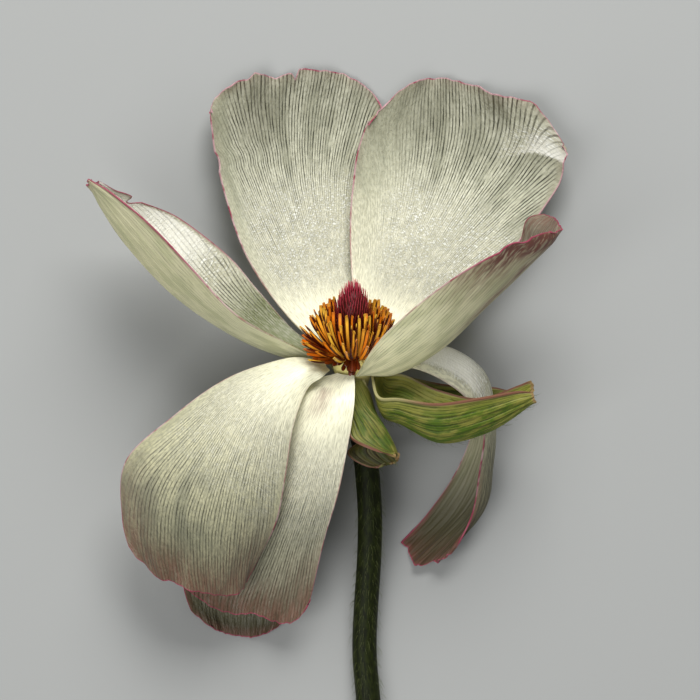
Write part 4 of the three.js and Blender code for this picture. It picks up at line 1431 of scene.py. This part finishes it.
hair_shape = model_strand(sides=3, width=HAIR_WIDTH, tip_width=0.016, length=HAIR_LENGTH, cuts=1)
# Silky and pale, so that against the dark stem the hairs blur its edge
hair_skin = new_material("silky_hair")
hair_coat = {"Base Color": "#4c522c", "Roughness": 0.45, "Specular IOR Level": 0.2}
add_surface(hair_skin.node_tree, hair_coat)
print("hair faces:", len(hair_shape[1]))


# %% Grow hairs from roots
def grow_hairs(name, roots, outwards, lying, spread):
    """Hairs from roots on a skin, each leaning from its outward direction to lie along it."""
    copies = []
    for root, out, along in zip(roots, outwards, lying):
        first = out + 0.8 * along + spread * random.normal(size=3)
        last = 0.5 * out + 1.2 * along + spread * random.normal(size=3)
        length = HAIR_LENGTH * random.uniform(0.5, 1.1)
        first *= length / 3 / np.linalg.norm(first)
        last *= length / 1.5 / np.linalg.norm(last)
        line = np.array([root, root + first, root + first + last / 2, root + first + last])
        copies.append(bent_copy(hair_shape, line, HEAD_RIGHT))
    hairs = join_copies(name, hair_shape, copies, [0.5] * len(copies))
    hairs.data.materials.append(hair_skin)
    keep_off_table(hairs)
    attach(hairs, "root")
    print(name + ":", len(copies))


# %% Hairs on the stem
STEM_HAIRS = 1000
places = random.uniform(0.07, 0.99, STEM_HAIRS)
turns = random.uniform(0, 2 * math.pi, STEM_HAIRS)
middles = smooth_line(stem_line, places)
downwards = unit(smooth_line(stem_line, places + 0.01) - middles)
sideways = unit(np.cross(downwards, [0, 0, 1.0]))
upwards = np.cross(sideways, downwards)
outwards = np.cos(turns)[:, None] * sideways + np.sin(turns)[:, None] * upwards
roots = middles + (STEM_RADIUS - 0.05) * outwards
clear = (roots[:, 2] > 0.8) & (roots[:, 1] > -93)  # clear of the table and of the cut end
grow_hairs("stem_hairs", roots[clear], outwards[clear], downwards[clear], spread=0.2)

# %% Hairs under the sepals
SEPAL_HAIRS = 170
roots = []
outwards = []
lying = []
for name in ("sepal_right", "sepal_front", "sepal_hind_right", "sepal_left", "sepal_hind_left"):
    blade = sepals[name]
    s = random.uniform(0.15, 0.97, SEPAL_HAIRS)
    t = np.clip(random.normal(0, 0.45, SEPAL_HAIRS), -0.95, 0.95)
    away = -blade_normal(blade, s, t)
    along = smooth_blade(blade, np.minimum(s + 0.02, 1), t) - smooth_blade(blade, s - 0.02, t)
    roots.append(blade_point(blade, s, t) + 0.5 * SEPAL_THICKNESS * away)
    outwards.append(away)
    lying.append(unit(along))
roots, outwards, lying = (np.concatenate(parts) for parts in (roots, outwards, lying))
grow_hairs("sepal_hairs", roots, outwards, lying, spread=0.3)

# %% [markdown]
# The end: both sizes side by side
#
# The looks must not change the flower's size, so both boxes are written down side by side.

# %% Sizes, and finish
looks_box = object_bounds()
boxes = {
    "solid": [list(corner) for corner in solid_box],
    "looks": [list(corner) for corner in looks_box],
}
for label, corners in boxes.items():
    print(label, "box in mm:", [[round(1000 * c, 2) for c in corner] for corner in corners])
